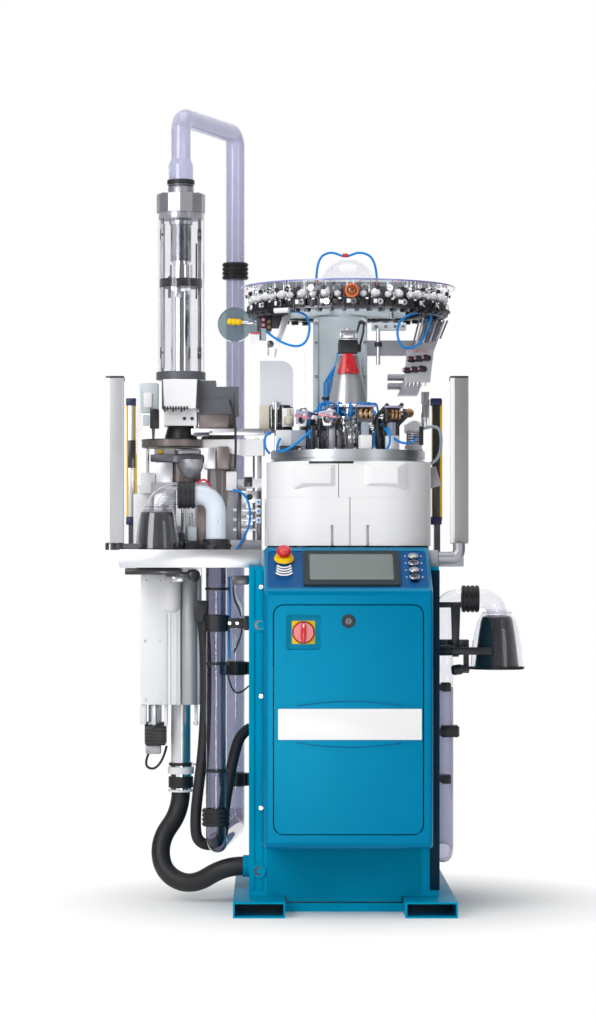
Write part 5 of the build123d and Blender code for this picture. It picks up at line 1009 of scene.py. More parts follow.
def desk_trim():
    """Screen, collars of the emergency stop and keys, and printed arcs and dots on the sloping desk."""
    made = Assembly("desk_trim", slot="bezel_grey")
    top = desk_height("display")
    u, v = desk_place("display")
    made.plate(SCREEN, rounded_outline(231, 138, 5), 0.8, on_desk(u, v + 2, top - 0.4), 0.3)
    for side in (-1, 1):
        made.plate(BLACK, rounded_outline(4, 138, 1.5), 1.0, on_desk(u + side * 118, v + 2, top - 0.6), 0.3)
        made.plate(BLACK, rounded_outline(240, 4, 1.5), 1.0, on_desk(u, v + 2 + side * 72, top - 0.6), 0.3)
    panel = desk_height("control_panel")
    stop_u, stop_v = desk_place("estop_button")
    up = desk_axis()
    made.turned(YELLOW, ((13.5, 0), (27, 0), (28, 3), (23, 13), (13.5, 13)),
                DESK @ Vector((stop_u, stop_v, panel - 0.2)), up)
    for step in range(4):
        shift = stop_v - 34 - 13 * step
        made.plate(FILM, arc_band(24 + step, 6, 205, 335), 1.0, on_desk(stop_u, shift + 10, panel - 0.3), 0.3)
    for number in KEYS:
        key_u, key_v = desk_place(f"push_button_{number}")
        made.turned(STEEL, ((10.5, 0), (14.5, 0), (14.5, 2), (12, 4), (10.5, 4)),
                    DESK @ Vector((key_u, key_v, panel - 0.2)), up, 32)
        for side in (-1, 1):
            made.turned(FILM, ((0, 0), (2, 0), (1.5, 1), (0, 1)),
                        DESK @ Vector((key_u + 22 * side, key_v, panel - 0.3)), up, 12)
    made.done()


def stop_mushroom():
    head = Assembly("stop_mushroom", "estop", "signal_red")
    profile = ((0, -6), (11, -6), (12, 6), (20, 8), (21.5, 12), (21, 18), (17, 23), (9, 25.5), (0, 26))
    base = DESK @ Vector((*desk_place("estop_button"), desk_height("control_panel") + 13))
    head.turned(RED, profile, base, desk_axis())
    head.done(("estop_button",))


def key_caps():
    panel = desk_height("control_panel")
    for number in KEYS:
        high = desk_height(f"push_button_{number}")
        top = DESK @ Vector((*desk_place(f"push_button_{number}"), high))
        finish, ring, slot = (WHITE, BLACK, "button_white") if number % 2 else (BLACK, STEEL, "black_plastic")
        key = Assembly(f"key_cap_{number}", f"button_{number}", slot)
        key.turned(finish, ((0, panel - high), (9.5, panel - high), (9.5, -1), (8, 0.6), (0, 1)), top,
                   desk_axis(), 32)
        key.turned(ring, ((5, 0.6), (6.5, 0.6), (6.2, 1.4), (5.2, 1.4)), top, desk_axis(), 32)
        key.done((f"push_button_{number}",))


# Yarn ring, disc and dome


def sector_shell(made, finish, profile, middle, wall, steps=16):
    """A wall round part of an upright axis; each row is a radius, a height and half its angle."""
    part = bmesh.new()
    loop = list(profile) + [(radius - wall, height, half) for radius, height, half in reversed(profile)]
    rows = []
    for step in range(steps + 1):
        row = []
        for radius, height, half in loop:
            turn = math.radians(middle + half * (2 * step / steps - 1))
            row.append(part.verts.new((radius * math.cos(turn), radius * math.sin(turn), height)))
        rows.append(row)
    for low, high in zip(rows, rows[1:]):
        for step in range(len(loop)):
            after = (step + 1) % len(loop)
            part.faces.new((low[step], low[after], high[after], high[step]))
    part.faces.new(rows[0])
    part.faces.new(rows[-1])
    made.take(part, finish)


FEEDERS = 24


def yarn_ring_trim():
    """Guides, discs, knobs, tabs and clamps of the feeders, and the amber lamp."""
    bulb = ((0, -14), (6, -14), (9, -11), (13.5, -4), (13.5, 3), (10, 9), (7, 12), (5.5, 16), (0, 16))
    small = [(radius * 0.7, height * 0.8) for radius, height in bulb]
    eye = ((3, 0), (8, 0), (9, 1.5), (8, 3), (3, 3))
    knob = ((0, 0), (5, 0), (6, 2), (6, 8), (4, 10), (0, 10))
    stub = ((0, 0), (6, 0), (6, 16), (4, 20), (0, 20))
    dot = ((0, 0), (2.6, 0), (2.6, -3), (1.6, -4), (0, -4))
    centre = (0, 0, 0)
    guides = round_copies("guide_bulbs", CERAMIC, FEEDERS, 272, 1731, 0,
                          ("turned", bulb, centre, TO_RIGHT, 18))
    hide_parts("yarn_guides")
    round_copies("small_bulbs", CERAMIC, FEEDERS, 276, 1728, 7.5, ("turned", small, centre, TO_RIGHT, 16))
    round_copies("tension_discs", CHROME, FEEDERS, 284, 1745, 7.5, ("turned", eye, centre, TO_RIGHT, 20),
                 ("turned", eye, (4, 0, 0), TO_RIGHT, 20), ("rod", (-20, 0, 0), (12, 0, 0), 2))
    round_copies("tension_knobs", BLACK, FEEDERS, 286, 1745, 0, ("turned", knob, centre, TO_RIGHT, 16))
    round_copies("feeder_tabs", FILM, FEEDERS, 289, 1707, 0, ("box", (0, 1.2), (-11, -1), (-6, 6), 0.5))
    round_copies("feeder_eyes", CHROME, FEEDERS, 289, 1706, 0, ("turned", eye, (0, 8, 0), TO_RIGHT, 16))
    round_copies("ring_clamps", BLACK, FEEDERS, 272, 1695.2, 7.5, ("box", (-14, 14), (-13, 13), (0, 19), 2),
                 ("box", (12, 17), (-6, 6), (3, 14), 1))
    round_copies("ring_stubs", DARK_STEEL, 2 * FEEDERS, 262, 1712, 3.75, ("turned", stub, centre, UP, 12))
    round_copies("feeder_hooks", DARK_STEEL, 2 * FEEDERS, 268, 1689, 3.75,
                 ("box", (-7, 14), (-6, 6), (-9, 0), 1), ("box", (2, 20), (-3, 3), (-5, 8), 1))
    round_copies("ring_nuts", SATIN_BLACK, 60, 286, 1697, 2, ("box", (-4, 5), (-5, 5), (-5, 4), 1),
                 ("rod", (4, 0, 0), (9, 0, 0), 2.4, None, 10))
    round_copies("ring_tabs", FILM, FEEDERS, 290.5, 1714, 9, ("box", (0, 1.2), (-4, 4), (-2.5, 2.5), 0.4))
    round_copies("feeder_backs", DARK_STEEL, FEEDERS, 246, 1717, 7.5, ("box", (-3, 3), (-19, 19), (0, 36), 2),
                 ("box", (2, 8), (-8, 8), (8, 26), 1.5))
    pins = [("rod", (0, y, 0), (0, y, 68), 1.6, None, 8) for y in (-9, 9)]
    round_copies("disc_pins", STEEL, FEEDERS, 254, 1695, 0, *pins)
    round_copies("disc_screws", PINK, 16, 292, DISC_LOW, 5, ("turned", dot, centre, UP, 12))
    lamp_place = (3, -292, 1735)
    made = Assembly("amber_lamp", slot="ring_black")
    made.turned(ORANGE, ((14, 0), (19, 0), (20, 4), (18, 9), (14, 9)), lamp_place, TO_FRONT)
    made.turned(AMBER, ((0, 2), (14.5, 2), (13, 8), (8, 12), (0, 14)), lamp_place, TO_FRONT)
    made.box(BLACK, (-5, 11), (-293, -286), (1716, 1754), 2)
    made.done()


def disc_and_dome():
    """The clear disc with its violet edge, and the dome and fittings on it."""
    made = Assembly("disc_skin", slot="clear_sheet")
    made.turned(CLEAR_DISC, ((0, 0), (DISC_RADIUS - 5, 0), (DISC_RADIUS - 5, 4), (0, 4)),
                (0, 0, DISC_LOW), sides=96)
    made.turned(VIOLET_EDGE, ((DISC_RADIUS - 5, 0), (DISC_RADIUS, 0), (DISC_RADIUS, 4), (DISC_RADIUS - 5, 4)),
                (0, 0, DISC_LOW), sides=96)
    outer, inner = [], []
    for step in range(13):
        angle = math.pi / 2 * step / 12
        outer.append((82 * math.cos(angle) if step < 12 else 0, 84 * math.sin(angle)))
        inner.append((79 * math.cos(angle) if step < 12 else 0, 81 * math.sin(angle)))
    made.turned(CLEAR_GUARD, outer + inner[::-1], (0, 0, DISC_LOW + 4.2), sides=64)
    made.turned(CLEAR_GUARD, ((83, 0), (94, 0), (94, 3), (83, 3)), (0, 0, DISC_LOW + 4.2), sides=64)
    made.done(("ring_disc",), casts_shadow=False)
    fittings = Assembly("dome_fittings", slot="bright_tube")
    for x in (-93, 80):
        fittings.turned(ORANGE, ((0, 0), (8, 0), (8, 8), (5, 12), (5, 18), (0, 18)), (x, -95, DISC_LOW + 4.2))
    for x in (-40, 30):
        fittings.turned(STEEL, ((0, 0), (10, 0), (10, 6), (5, 10), (5, 26), (0, 26)),
                        (x, -20, DISC_LOW + 4.2))
    fittings.turned(RED, ((0, 0), (5.5, 0), (6, 3), (6, 13), (5.5, 16), (0, 16)), (-18, -95, 1853),
                    TO_RIGHT, 20)
    fittings.box(DARK_STEEL, (-46, 36), (-14, 14), (DISC_LOW + 4.3, DISC_LOW + 20), 3)
    fittings.done()


def ring_arms():
    """Cross arms, yarn devices and lamp of the left side, under the ring."""
    made = Assembly("ring_arms", slot="mast_grey")
    for side in (-1, 1):
        made.plate(MAST_GREY, ((side * 20, 0), (side * 150, -14), (side * 150, -2), (side * 20, 22)), 14,
                   front(-20 + 10 * side, 118, 1702), 2)
        made.rod(STEEL, (-20 + side * 150, 104, 1690), (-20 + side * 150, 104, 1716), 6)
    made.box(BLACK, (-262, -220), (-70, -30), (1640, 1686), 4)
    made.box(BLACK, (-222, -180), (-66, -36), (1648, 1687), 4)
    made.plate(ALUMINIUM, ((-190, 1680), (-166, 1684), (-202, 1588), (-215, 1590)), 5, front(0, -70, 0), 1)
    made.turned(DARK_STEEL, ((0, 0), (10, 0), (10, 6), (5, 8), (0, 8)), (-224, -66, 1602), TO_FRONT, 24)
    made.rod(CERAMIC, (-212, -226, 1684), (-172, -246, 1684), 7.5)
    for z in (1640, 1656, 1672):
        made.turned(PINK, ((0, 0), (5, 0), (5, 5), (3, 7), (0, 7)), (-244, -70, z), TO_FRONT, 16)
        made.turned(BRONZE, ((0, 0), (5, 0), (5, 4), (0, 4)), (-228, -70, z - 6), TO_FRONT, 20)
    made.box(BOX_GREY, (-256, -236), (-82, -64), (1612, 1646), 2)
    made.box(CLEAR_GUARD, (-282, -250), (-84, -82), (1600, 1668), 0.5)
    made.box(RED, (-280, -252), (-85.5, -84.2), (1630, 1634), 0.3)
    made.rod(STEEL, (-230, -60, 1612), (-230, -60, 1570), 2.5)
    made.rod(STEEL, (-200, -60, 1622), (-212, -66, 1566), 2.5)
    made.turned(YELLOW, ((0, 0), (7, 1), (10, 8), (8, 14), (10, 21), (8, 27), (10, 34), (7, 42), (0, 44)),
                (-348, -66, 1667), (1, 0.02, -0.06))
    made.turned(CHROME, ((0, 0), (5, 0), (5, 30), (0, 30)), (-304, -66, 1664), (1, 0, -0.06), 16)
    made.done()


def finger_magazine_trim():
    """Blades, black fingers with red tips and pins of the yarn finger magazine."""
    made = Assembly("magazine_fingers", slot="motor_black")
    made.plate(POST_SILVER, ((172, 1594), (252, 1600), (240, 1500), (164, 1500)), 4, front(0, 59, 0), 1)
    aim = Vector((-0.82, -0.56, 0.04))
    for start, z in ((178, 1566), (166, 1534)):
        for column in range(3):
            base = Vector((start + 22 * column + 16, 54, z + 2 * column))
            made.turned(BLACK, ((0, 0), (8, 0), (9, 3), (9, 18), (6, 24), (0, 24)), base, aim, 20)
            made.turned(PINK, ((0, 0), (4.5, 0), (4, 2), (0, 3)), base + aim * 24, aim, 14)
    for step in range(6):
        x = 172 + 11 * step
        made.rod(PINK, (x + 6, 56, 1590), (x + 6, 50, 1591), 3, None, 10)
        made.rod(STEEL, (x, 58, 1500), (x - 2, 56, 1488), 3, 1.5, 10)
    for step in range(9):
        x = 186 + 10 * step
        finish = CAST if step % 2 else MOTOR_GREY
        made.plate(finish, ((0, 0), (5, 0), (26, 84 - 4 * step), (21, 84 - 4 * step)), 26,
                   front(x, 58, 1602 + 3 * step), 1)
    for step in range(5):
        x = 222 + 11 * step
        made.rod(AIR_BLUE, (x, 70, 1668), (x + 5, 70, 1692), 3, None, 12)
        made.rod(WHITE, (x - 2, 56, 1652), (x + 1, 56, 1668), 4, None, 12)
    made.rod(CHROME, (88, 20, 1652), (88, 20, 1548), 6)
    made.turned(BLACK, ((6.2, 0), (11, 0), (11, 14), (6.2, 14)), (88, 20, 1600))
    made.box(MAST_GREY, (70, 170), (40, 62), (1650, 1672), 3)
    made.done()
    screws("magazine_screws", 5, 4, [((x, 39.8, 1661), TO_FRONT) for x in (82, 110, 138, 160)])


# Dial head and mast


def dial_head_trim():
    """Cone, motor, guard and air stubs that rise with the dial."""
    made = Assembly("dial_head_skin", "dial_head", "bare_aluminium")
    cone = ((8.4, 0), (56, 0), (59, 2), (59, 9), (57, 10), (30.5, 146), (29, 150), (8.4, 150))
    made.turned(CONE_SILVER, cone, (0, 0, 1422), sides=56)
    made.turned(CHROME, ((52, 0), (59.8, 0), (60.5, 2), (60.5, 6), (59, 8), (52, 8)), (0, 0, 1423), sides=56)
    made.turned(STEEL, ((50, 0), (55.4, 0), (54.6, 3), (50, 3)), (0, 0, 1440), sides=56)
    made.box(MAST_GREY, (-26, 26), (10, 111.5), (1468, 1558), 3)
    made.done(("dial_housing",))
    motor = Assembly("dial_motor_skin", "dial_head", "motor_black")
    motor.box(BLACK, (-28.5, 28.5), (-28.5, 28.5), (1577, 1617), 6)
    for z in (1572.2, 1617):
        motor.box(STEEL, (-28.5, 28.5), (-28.5, 28.5), (z, z + 5), 2)
    motor.box(ALUMINIUM, (-25, 25), (-25, 25), (1622, 1647), 4)
    motor.box(BLACK, (28.5, 38), (-10, 10), (1584, 1606), 2)
    for step in range(2):
        lead = ((34, -6 + 9 * step, 1600), (44, -6 + 9 * step, 1640), (46, 0, 1672 - 6 * step),
                (34, 6, 1674 - 6 * step), (26, 12, 1640))
        motor.pipe(SATIN_BLACK, lead, 5, 3, sides=12)
    motor.turned(CHROME, ((0, 0), (9, 0), (9, 3), (0, 3)), (0, 0, 1647), sides=24)
    motor.done(("dial_motor",))
    places = [((x, -25, z), TO_FRONT) for x in (-18, 18) for z in (1628, 1641)]
    screws("dial_motor_screws", 3.2, 3, places, "dial_head")
    guard = Assembly("dial_guard_skin", "dial_head", "signal_red")
    shield = ((46, 1520, 44), (45, 1526, 42), (38, 1560, 30), (36, 1576, 24), (33, 1578, 22))
    sector_shell(guard, RED, shield, 270, 3)
    guard.box(RED, (-9, 9), (-49, -42), (1524, 1548), 2)
    guard.done(("dial_guard",))
    stub = ((-4, 0, 8), (26, 0, 12), (34, 0, -26))
    round_copies("cone_air_stubs", AIR_BLUE, 15, 58, 1424, 10, ("pipe", stub, 9, 2.6, None, 12),
                 body="dial_head")
    curl = ((-14, -4, -2), (12, -12, -8), (18, 10, -20), (-10, 16, -30))
    round_copies("cone_air_curls", AIR_BLUE, 12, 56, 1418, 22, ("pipe", curl, 8, 2.4, None, 10),
                 body="dial_head")


def mast_trim():
    """Rails, air tubes and clips on the mast."""
    made = Assembly("mast_trim", slot="mast_grey")
    for x in (-96, 46):
        made.box(MAST_GREY, (x, x + 12), (106, 112), (1300, 1690), 2)
    made.box(DARK_STEEL, (-30, -8), (107, 112), (1330, 1470), 2)
    for step in range(4):
        x = -66 + 9 * step
        tube = ((x, 100, 1330), (x, 98, 1500 + 10 * step), (x + 34, 96, 1552), (x + 40, 96, 1590))
        made.pipe(AIR_BLUE, tube, 14, 3, sides=12)
    for z in (1452, 1384):
        made.box(BLACK, (-74, -30), (92, 106), (z, z + 8), 2)
    made.done()
    places = [((x, 106, z), TO_FRONT) for x in (-90, 52) for z in (1320, 1420, 1520, 1620, 1676)]
    screws("mast_screws", 5, 4, places)


# Knitting bed


SELECTORS = 13


def needle_rings():
    """Needles, sinkers, cams and selectors round the needle cylinder."""
    round_copies("needles", CHROME, 84, 50, 1380, 0, ("rod", (0, 0, -26), (0, 0, 9), 0.6, 0.6, 6),
                 ("rod", (0, 0, 9), (2, 0, 11), 0.6, 0.5, 6), body="cylinder")
    sinkers = Assembly("sinker_ring", "cylinder", "machined_steel")
    sinkers.turned(CHROME, ((51.4, 0), (64, 0), (66, 2), (66, 6), (56, 9), (51.4, 9)), (0, 0, 1366), sides=64)
    sinkers.done()
    round_copies("cam_blocks", STEEL, 11, 84, 1328, 12, ("box", (-12, 14), (-13, 13), (0, 26), 1.5),
                 ("box", (-6, 18), (-5, 5), (26, 34), 1))
    round_copies("selector_blocks", DARK_STEEL, SELECTORS, 130, BED_TOP, 8,
                 ("box", (-16, 16), (-11, 11), (0, 38), 2), ("box", (-4, 20), (-7, 7), (38, 58), 2))
    round_copies("selector_heads", SATIN_BLACK, SELECTORS, 128, BED_TOP + 56, 8,
                 ("box", (-14, 12), (-9, 9), (0, 20), 2), ("box", (-24, 6), (-5, 5), (18, 36), 1.5),
                 ("rod", (-20, 0, 30), (-44, 0, 26), 3.4, 2, 10))
    round_copies("selector_eyelets", BRONZE, SELECTORS, 126, BED_TOP + 82, 8,
                 ("rod", (0, -8, 0), (0, 8, 0), 6, None, 18))
    round_copies("selector_pins", CHROME, 2 * SELECTORS, 116, BED_TOP, 4,
                 ("rod", (0, 0, 0), (4, 0, 66), 2.4, 1.6, 8), ("rod", (4, 0, 66), (-30, 0, 74), 1.6, 1.2, 8))
    round_copies("jacks", CHROME, 60, 98, 1316, 3, ("box", (0, 9), (-0.8, 0.8), (0, 30), 0.3))


def raised(place, height):
    return place + Vector((0, 0, height))


def finger_lever(made, out, side):
    bend = (raised(out * 150, 1297), raised(out * 150, 1372), raised(out * 186, 1404))
    made.pipe(SATIN_BLACK, bend, 20, 9, sides=20)
    made.turned(BRONZE, ((0, -6), (12, -6), (13, -3), (13, 3), (12, 6), (0, 6)),
                raised(out * 190, 1404), side, 24)


def finger_rollers(made, out, side):
    face = turned_frame(out * 172, side, UP)
    for finish, width, high, corner, depth, z, bevel in (
            (FILM, 34, 40, 4, 24, 1317, 3), (BOX_GREY, 20, 42, 3, 16, 1354, 2),
            (DARK_STEEL, 50, 44, 6, 10, 1396, 2), (LILAC_PLASTIC, 52, 6, 2, 30, 1418, 1)):
        made.plate(finish, rounded_outline(width, high, corner), depth,
                   face @ Matrix.Translation((0, z, 0)), bevel)
    lean = side + out * 0.35
    for step in (-1, 0, 1):
        across = side * (14 * step)
        made.turned(BRONZE, ((0, -4), (15, -4), (16, -2), (16, 2), (15, 4), (0, 4)),
                    raised(out * 192 + across, 1397), lean, 28)
        made.turned(STEEL, ((0, -6), (5, -6), (5, 6), (0, 6)), raised(out * 193 + across, 1397), lean, 16)


def finger_slider(made, out, side):
    face = turned_frame(out * 172, side, UP)
    for finish, outline, depth, z, bevel in (
            (WHITE, ((-14, 0), (8, 0), (16, 44), (2, 50), (-20, 30)), 8, 1364, 2),
            (PINK, ((-26, 8), (26, 0), (26, 6), (-26, 16)), 14, 1384, 1),
            (LILAC_PLASTIC, ((-18, 26), (22, 30), (22, 36), (-18, 34)), 12, 1372, 1)):
        made.plate(finish, outline, depth, face @ Matrix.Translation((0, z, 0)), bevel)
    made.turned(DARK_STEEL, ((0, 0), (12, 0), (13, 3), (8, 6), (0, 6)), raised(out * 180, 1384), out, 24)
    made.plate(DARK_STEEL, rounded_outline(22, 70, 3), 10, face @ Matrix.Translation((4, 1332, -26)), 2)


def finger_units():
    """Yarn finger units on the bed, each with four thin fingers that reach to the needles."""
    made = Assembly("finger_unit_trim", slot="machined_steel")
    units = ((-76, finger_rollers), (-48, finger_rollers), (-24, finger_lever), (-110, finger_slider),
             (-138, finger_slider))
    for angle, unit in units:
        way = math.radians(angle)
        out = Vector((math.cos(way), math.sin(way), 0))
        side = Vector((-out.y, out.x, 0))
        unit(made, out, side)
        for step in range(4):
            start = raised(out * 176 + side * (7 * step - 10), 1408)
            made.rod(CHROME, start, raised(out * 66 + side * (4 * step - 6), 1390), 2.2, 1, 8)
            made.rod(DARK_STEEL, start - Vector((0, 0, 12)), start + Vector((0, 0, 8)), 3, None, 10)
    for x, y, lift in ((84, -150, 10), (104, -132, 0), (128, -96, 14)):
        bend = ((x, y, 1298), (x - 8, y, 1380 + lift), (x + 26, y + 8, 1416 + lift))
        made.pipe(SATIN_BLACK, bend, 22, 5.5, sides=14)
    made.done(("finger_units",))


def bed_drives():
    """Details of the motor cover, selector box and valves on the bed, and the screws of its rim."""
    drives = Assembly("bed_drives", slot="grey_boxes")
    drives.box(CREAM, (-256, -227), (50, 57), (1364, 1432), 2)
    drives.box(SATIN_BLACK, (-226, -166), (52, 60), (1362, 1434), 3)
    for x in (-222, -206, -190):
        drives.box(STEEL, (x, x + 3), (48, 53), (1366, 1430), 0.8)
    drives.box(STEEL, (-217, -197), (42, 54), (1420, 1442), 2)
    drives.box(DARK_STEEL, (-240, -160), (40, 58), (1352, 1364), 2)
    drives.rod(CHROME, (-208, 34, 1297), (-208, 34, 1440), 4)
    drives.turned(CREAM, ((0, 0), (13, 0), (14, 2), (14, 20), (13, 22), (6, 24), (6, 44), (0, 44)),
                  (-170, 20, 1376), sides=14)
    drives.box(WHITE, (-190, -156), (36, 50), (1370, 1424), 3)
    drives.plate(LILAC_PLASTIC, rounded_outline(30, 42, 5), 6, front(-136, -58, 1394), 1)
    for step, finish in enumerate((PINK, WHITE, WHITE, PINK)):
        x, z = -118 + 17 * step, 1372 + 4 * step
        drives.box(finish, (x, x + 12), (-40, -20), (z, z + 36), 2)
    drives.rod(STEEL, (-127, -50, 1300), (-127, -50, 1577), 2.2, 1.4, 10)
    drives.box(BOX_GREY, (-208, -122), (-80, -75), (1309, 1355), 2)
    drives.box(COVER_GREY, (-208.4, -164), (-80.6, -75), (1308.6, 1355.4), 2)
    drives.box(BLACK, (-196, -140), (-92, -76), (1296.2, 1310), 2)
    for step in range(6):
        x = -190 + 9 * step
        drives.rod(BRONZE if step % 2 else STEEL, (x, -93, 1303), (x, -96, 1303), 2, None, 8)
    for x, y in ((192, -14), (187, 47)):
        drives.box(WHITE, (x - 20, x + 20), (y - 22, y + 22), (1354, 1378), 3)
        drives.turned(WHITE, ((0, 0), (13, 0), (14, 3), (10, 7), (0, 8)), (x, y, 1378), sides=28)
        drives.box(WHITE, (x - 20, x + 20), (y - 22, y + 22), (1296.4, 1317), 3)
        for step in range(5):
            drives.box(STEEL, (x - 17, x + 17), (y - 20, y + 20), (1319 + 7 * step, 1323 + 7 * step), 0.8)
        drives.box(BLACK, (x + 12, x + 24), (y - 23, y - 19), (1314, 1368), 1.5)
        drives.turned(AIR_BLUE, ((0, 0), (4, 0), (4, 10), (0, 10)), (x, y - 22, 1334), TO_FRONT, 14)
    drives.done()
    turns = [math.radians(15 * step + 4) for step in range(24)]
    screws("bed_screws", 4.5, 4, [((214 * math.cos(a), 214 * math.sin(a), BED_TOP), UP) for a in turns])


def skirt_trim():
    """Seam, a dark strip of painted shadow in the gap under the bed plate, raised panels of the upper skirt,
    and pockets behind the doors' finger slots.
    """
    made = Assembly("skirt_seam", slot="white_cover")
    made.box(MOTOR_GREY, (-33, -31), (-215.8, -214.6), (1161, 1256), 0.3)
    # A black strip over the opening under the bed plate: painted shadow
    made.box(SATIN_BLACK, (-116, 10), (-215.8, -214.4), (1255, 1261.6), 0.5)
    for x in (-94, 94):
        made.plate(WHITE, rounded_outline(132, 76, 6), 27, front(x, -201.5, 1222), 2, 0.6)
    made.done()
    half, back, depth, height = 8.5, (-201.5, -199.5), (-211.2, -199.5), (1024.5, 1086)
    for body, x in (("left_skirt", -50), ("right_skirt", 50)):
        pocket = Assembly(f"{body}_finger_pocket", body, "white_cover")
        pocket.box(WHITE, (x - half, x + half), back, height, 0.5)
        pocket.box(WHITE, (x - half, x + half), depth, (1084, 1086), 0.5)
        for side in (-7.5, 7.5):
            pocket.box(WHITE, (x + side - 1, x + side + 1), depth, height, 0.5)
        pocket.done()


# Toe closing unit


def toe_trim():
    """Clamps and rods in the guard, the cover's brackets, and the fixed parts round the pick-up ring."""
    made = Assembly("toe_trim", slot="cast_grey")
    for x in (-538, -430):
        for z in (1928, 1585):
            made.box(BLACK, (x - 6, x + 6), (46, 74), (z - 17, z + 17), 3)
            made.rod(STEEL, (x, 46, z), (x, 40, z), 4, None, 12)
    made.box(CAST, (-540, -530), (40, 56), (1540, 1960), 1.5)
    made.box(SATIN_BLACK, (-441, -436), (28, 34), (1740, 1900), 1)
    made.turned(STEEL, ((31.4, 0), (34, 0), (34, 10), (31.4, 10)), (*TOE_AXIS, 1958))
    made.turned(MOTOR_GREY, ((68.2, 0), (72, 1.5), (72, 22), (68.2, 24)), (*TOE_AXIS, 1506), sides=56)
    for step in range(9):
        x = -530 + 8 * step
        made.box(BLACK, (x, x + 5), (-33, -26), (1409 + 4 * (step % 3), 1426), 1)
    made.box(BLACK, (-534, -458), (-28, -12), (1418, 1424), 1)
    for x in (-472, -450):
        made.turned(BLACK, ((0, 0), (5, 0), (5, 3), (2.5, 3), (2, 1.5), (0, 1.5)), (x, 1, 1392), TO_FRONT, 20)
    turret = ((0, 0), (47, 0), (47, 5), (43, 6), (43, 12), (38, 14), (38, 22), (34, 24), (35, 36), (0, 36))
    made.turned(SATIN_BLACK, turret, (*TOE_AXIS, 1336), sides=40)
    made.rod(CHROME, (-442, 14, 1342), (-442, 14, 1386), 5)
    made.box(MAST_GREY, (-600, -548), (20, 50), (1410, 1496), 4)
    made.box(CLEAR_GUARD, (-612, -596), (14, 18), (1290, 1490), 1)
    made.box(WHITE, (-590, -566), (12, 40), (1424, 1468), 3)
    made.box(BLACK, (-572, -546), (4, 40), (1364, 1420), 3)
    made.box(MAST_GREY, (-592, -574), (0, 20), (1372, 1402), 2)
    made.rod(DARK_STEEL, (-562, 10, 1364), (-562, 10, 1330), 5, 3, 12)
    made.turned(CAST, ((0, 0), (18, 0), (30, 14), (37, 30), (37, 52), (33, 52), (32, 34), (0, 32)),
                (-455, 10, 1222))
    made.box(DARK_STEEL, (-570, -418), (-8, 60), (1268, 1288), 2)
    made.box(CAST, (-556, -428), (132, 150), (1178, 1308), 3)
    made.box(WHITE, (-560, -500), (20, 60), (1288.4, 1307), 3)
    made.box(PLATE_ALUMINIUM, (-498, -430), (44, 96), (1288.4, 1306), 3)
    made.box(WHITE, (-600, -556), (20, 70), (1176, 1236), 4)
    made.box(PLATE_ALUMINIUM, (-552, -506), (-4, 30), (1188, 1266), 2)
    made.rod(STEEL, (-578, 10, 1236), (-578, 10, 1306), 4, None, 12)
    made.turned(YELLOW, ((0, 0), (7, 0), (8, 3), (6, 12), (0, 13)), (-542, 19, 1297), TO_FRONT, 20)
    made.box(PLATE_ALUMINIUM, (-416, -382), (0, 70), (1246, 1308), 3)
    made.box(TAUPE, (-380, -344), (6, 70), (1246, 1312), 3)
    made.box(TAUPE, (-436, -346), (22, 44), (1364, 1412), 2)
    made.box(STEEL, (-434, -430), (20, 22.4), (1366, 1410), 0.8)
    made.box(ALUMINIUM, (-453, -222), (-4, 14), (1344, 1363), 2)
    made.box(DARK_STEEL, (-446, -400), (-7, -3.6), (1340, 1352), 1.5)
    for x in (-396, -240):
        made.rod(STEEL, (x, -4, 1353), (x, -7, 1353), 4, None, 16)
    made.done()


def sock_tube_clamp():
    """The clamp, bracket and lower end of the sliding sock tube."""
    clamp = Assembly("sock_tube_clamp", "sock_tube", "bright_tube")
    clamp.turned(CHROME, ((30.3, 0), (34, 1), (34, 40), (30.3, 41)), (*TOE_AXIS, 1800))
    clamp.turned(CHROME, ((27.5, 0), (30, 0), (30, 23.2), (27.5, 23.2)), (*TOE_AXIS, 1520))
    clamp.box(CHROME, (-512, -456), (22, 27), (1762, 1802), 2)
    clamp.box(STEEL, (-500, -482), (18, 23), (1744, 1800), 1.5)
    clamp.box(DARK_STEEL, (-520, -512), (20, 30), (1742, 1806), 1.5)
    for x in (-506, -476, -462):
        clamp.rod(STEEL, (x, 22, 1790), (x, 17, 1790), 4, None, 14)
    clamp.done()


def toe_box_trim():
    """Seams and a ledge on the motor box."""
    box = Assembly("toe_box_trim", slot="motor_black")
    box.box(SATIN_BLACK, (-330, -328), (17.8, 19.8), (1404, 1470), 0.4)
    box.box(MOTOR_GREY, (-440, -332), (17, 19.8), (1406, 1411), 0.8)
    box.box(MOTOR_GREY, (-440, -332), (18.2, 19.8), (1452, 1455), 0.5)
    box.done()


def pickup_trim():
    """Rims and caps of the pick-up ring and its arm."""
    arm = Assembly("pickup_trim", "pickup_arm", "white_cover")
    for z in (1309.4, 1330.4):
        arm.turned(SATIN_BLACK, ((86, 0), (92.4, 0.6), (92.4, 2.6), (86, 3.2)),
                   (*TOE_AXIS_PICKUP, z), sides=64)
    arm.turned(BLACK, ((0, 0), (15, 0), (15, 5), (12, 8), (0, 8)), (-409, 34, 1333))
    arm.turned(RED, ((0, 0), (5, 0), (4, 2), (0, 2)), (-409, 34, 1341), sides=20)
    for x in (-300, -262):
        arm.turned(STEEL, ((0, 0), (7, 0), (7, 3), (4, 4), (0, 4)), (x, 60, 1333), sides=20)
    arm.done()


def toe_screws():
    """Six screws on top of the cap."""
    x, y = TOE_AXIS
    turns = [math.radians(30 + 60 * step) for step in range(6)]
    screws("toe_screws", 4.5, 4, [((x + 58 * math.cos(a), y + 58 * math.sin(a), 2045), UP) for a in turns])


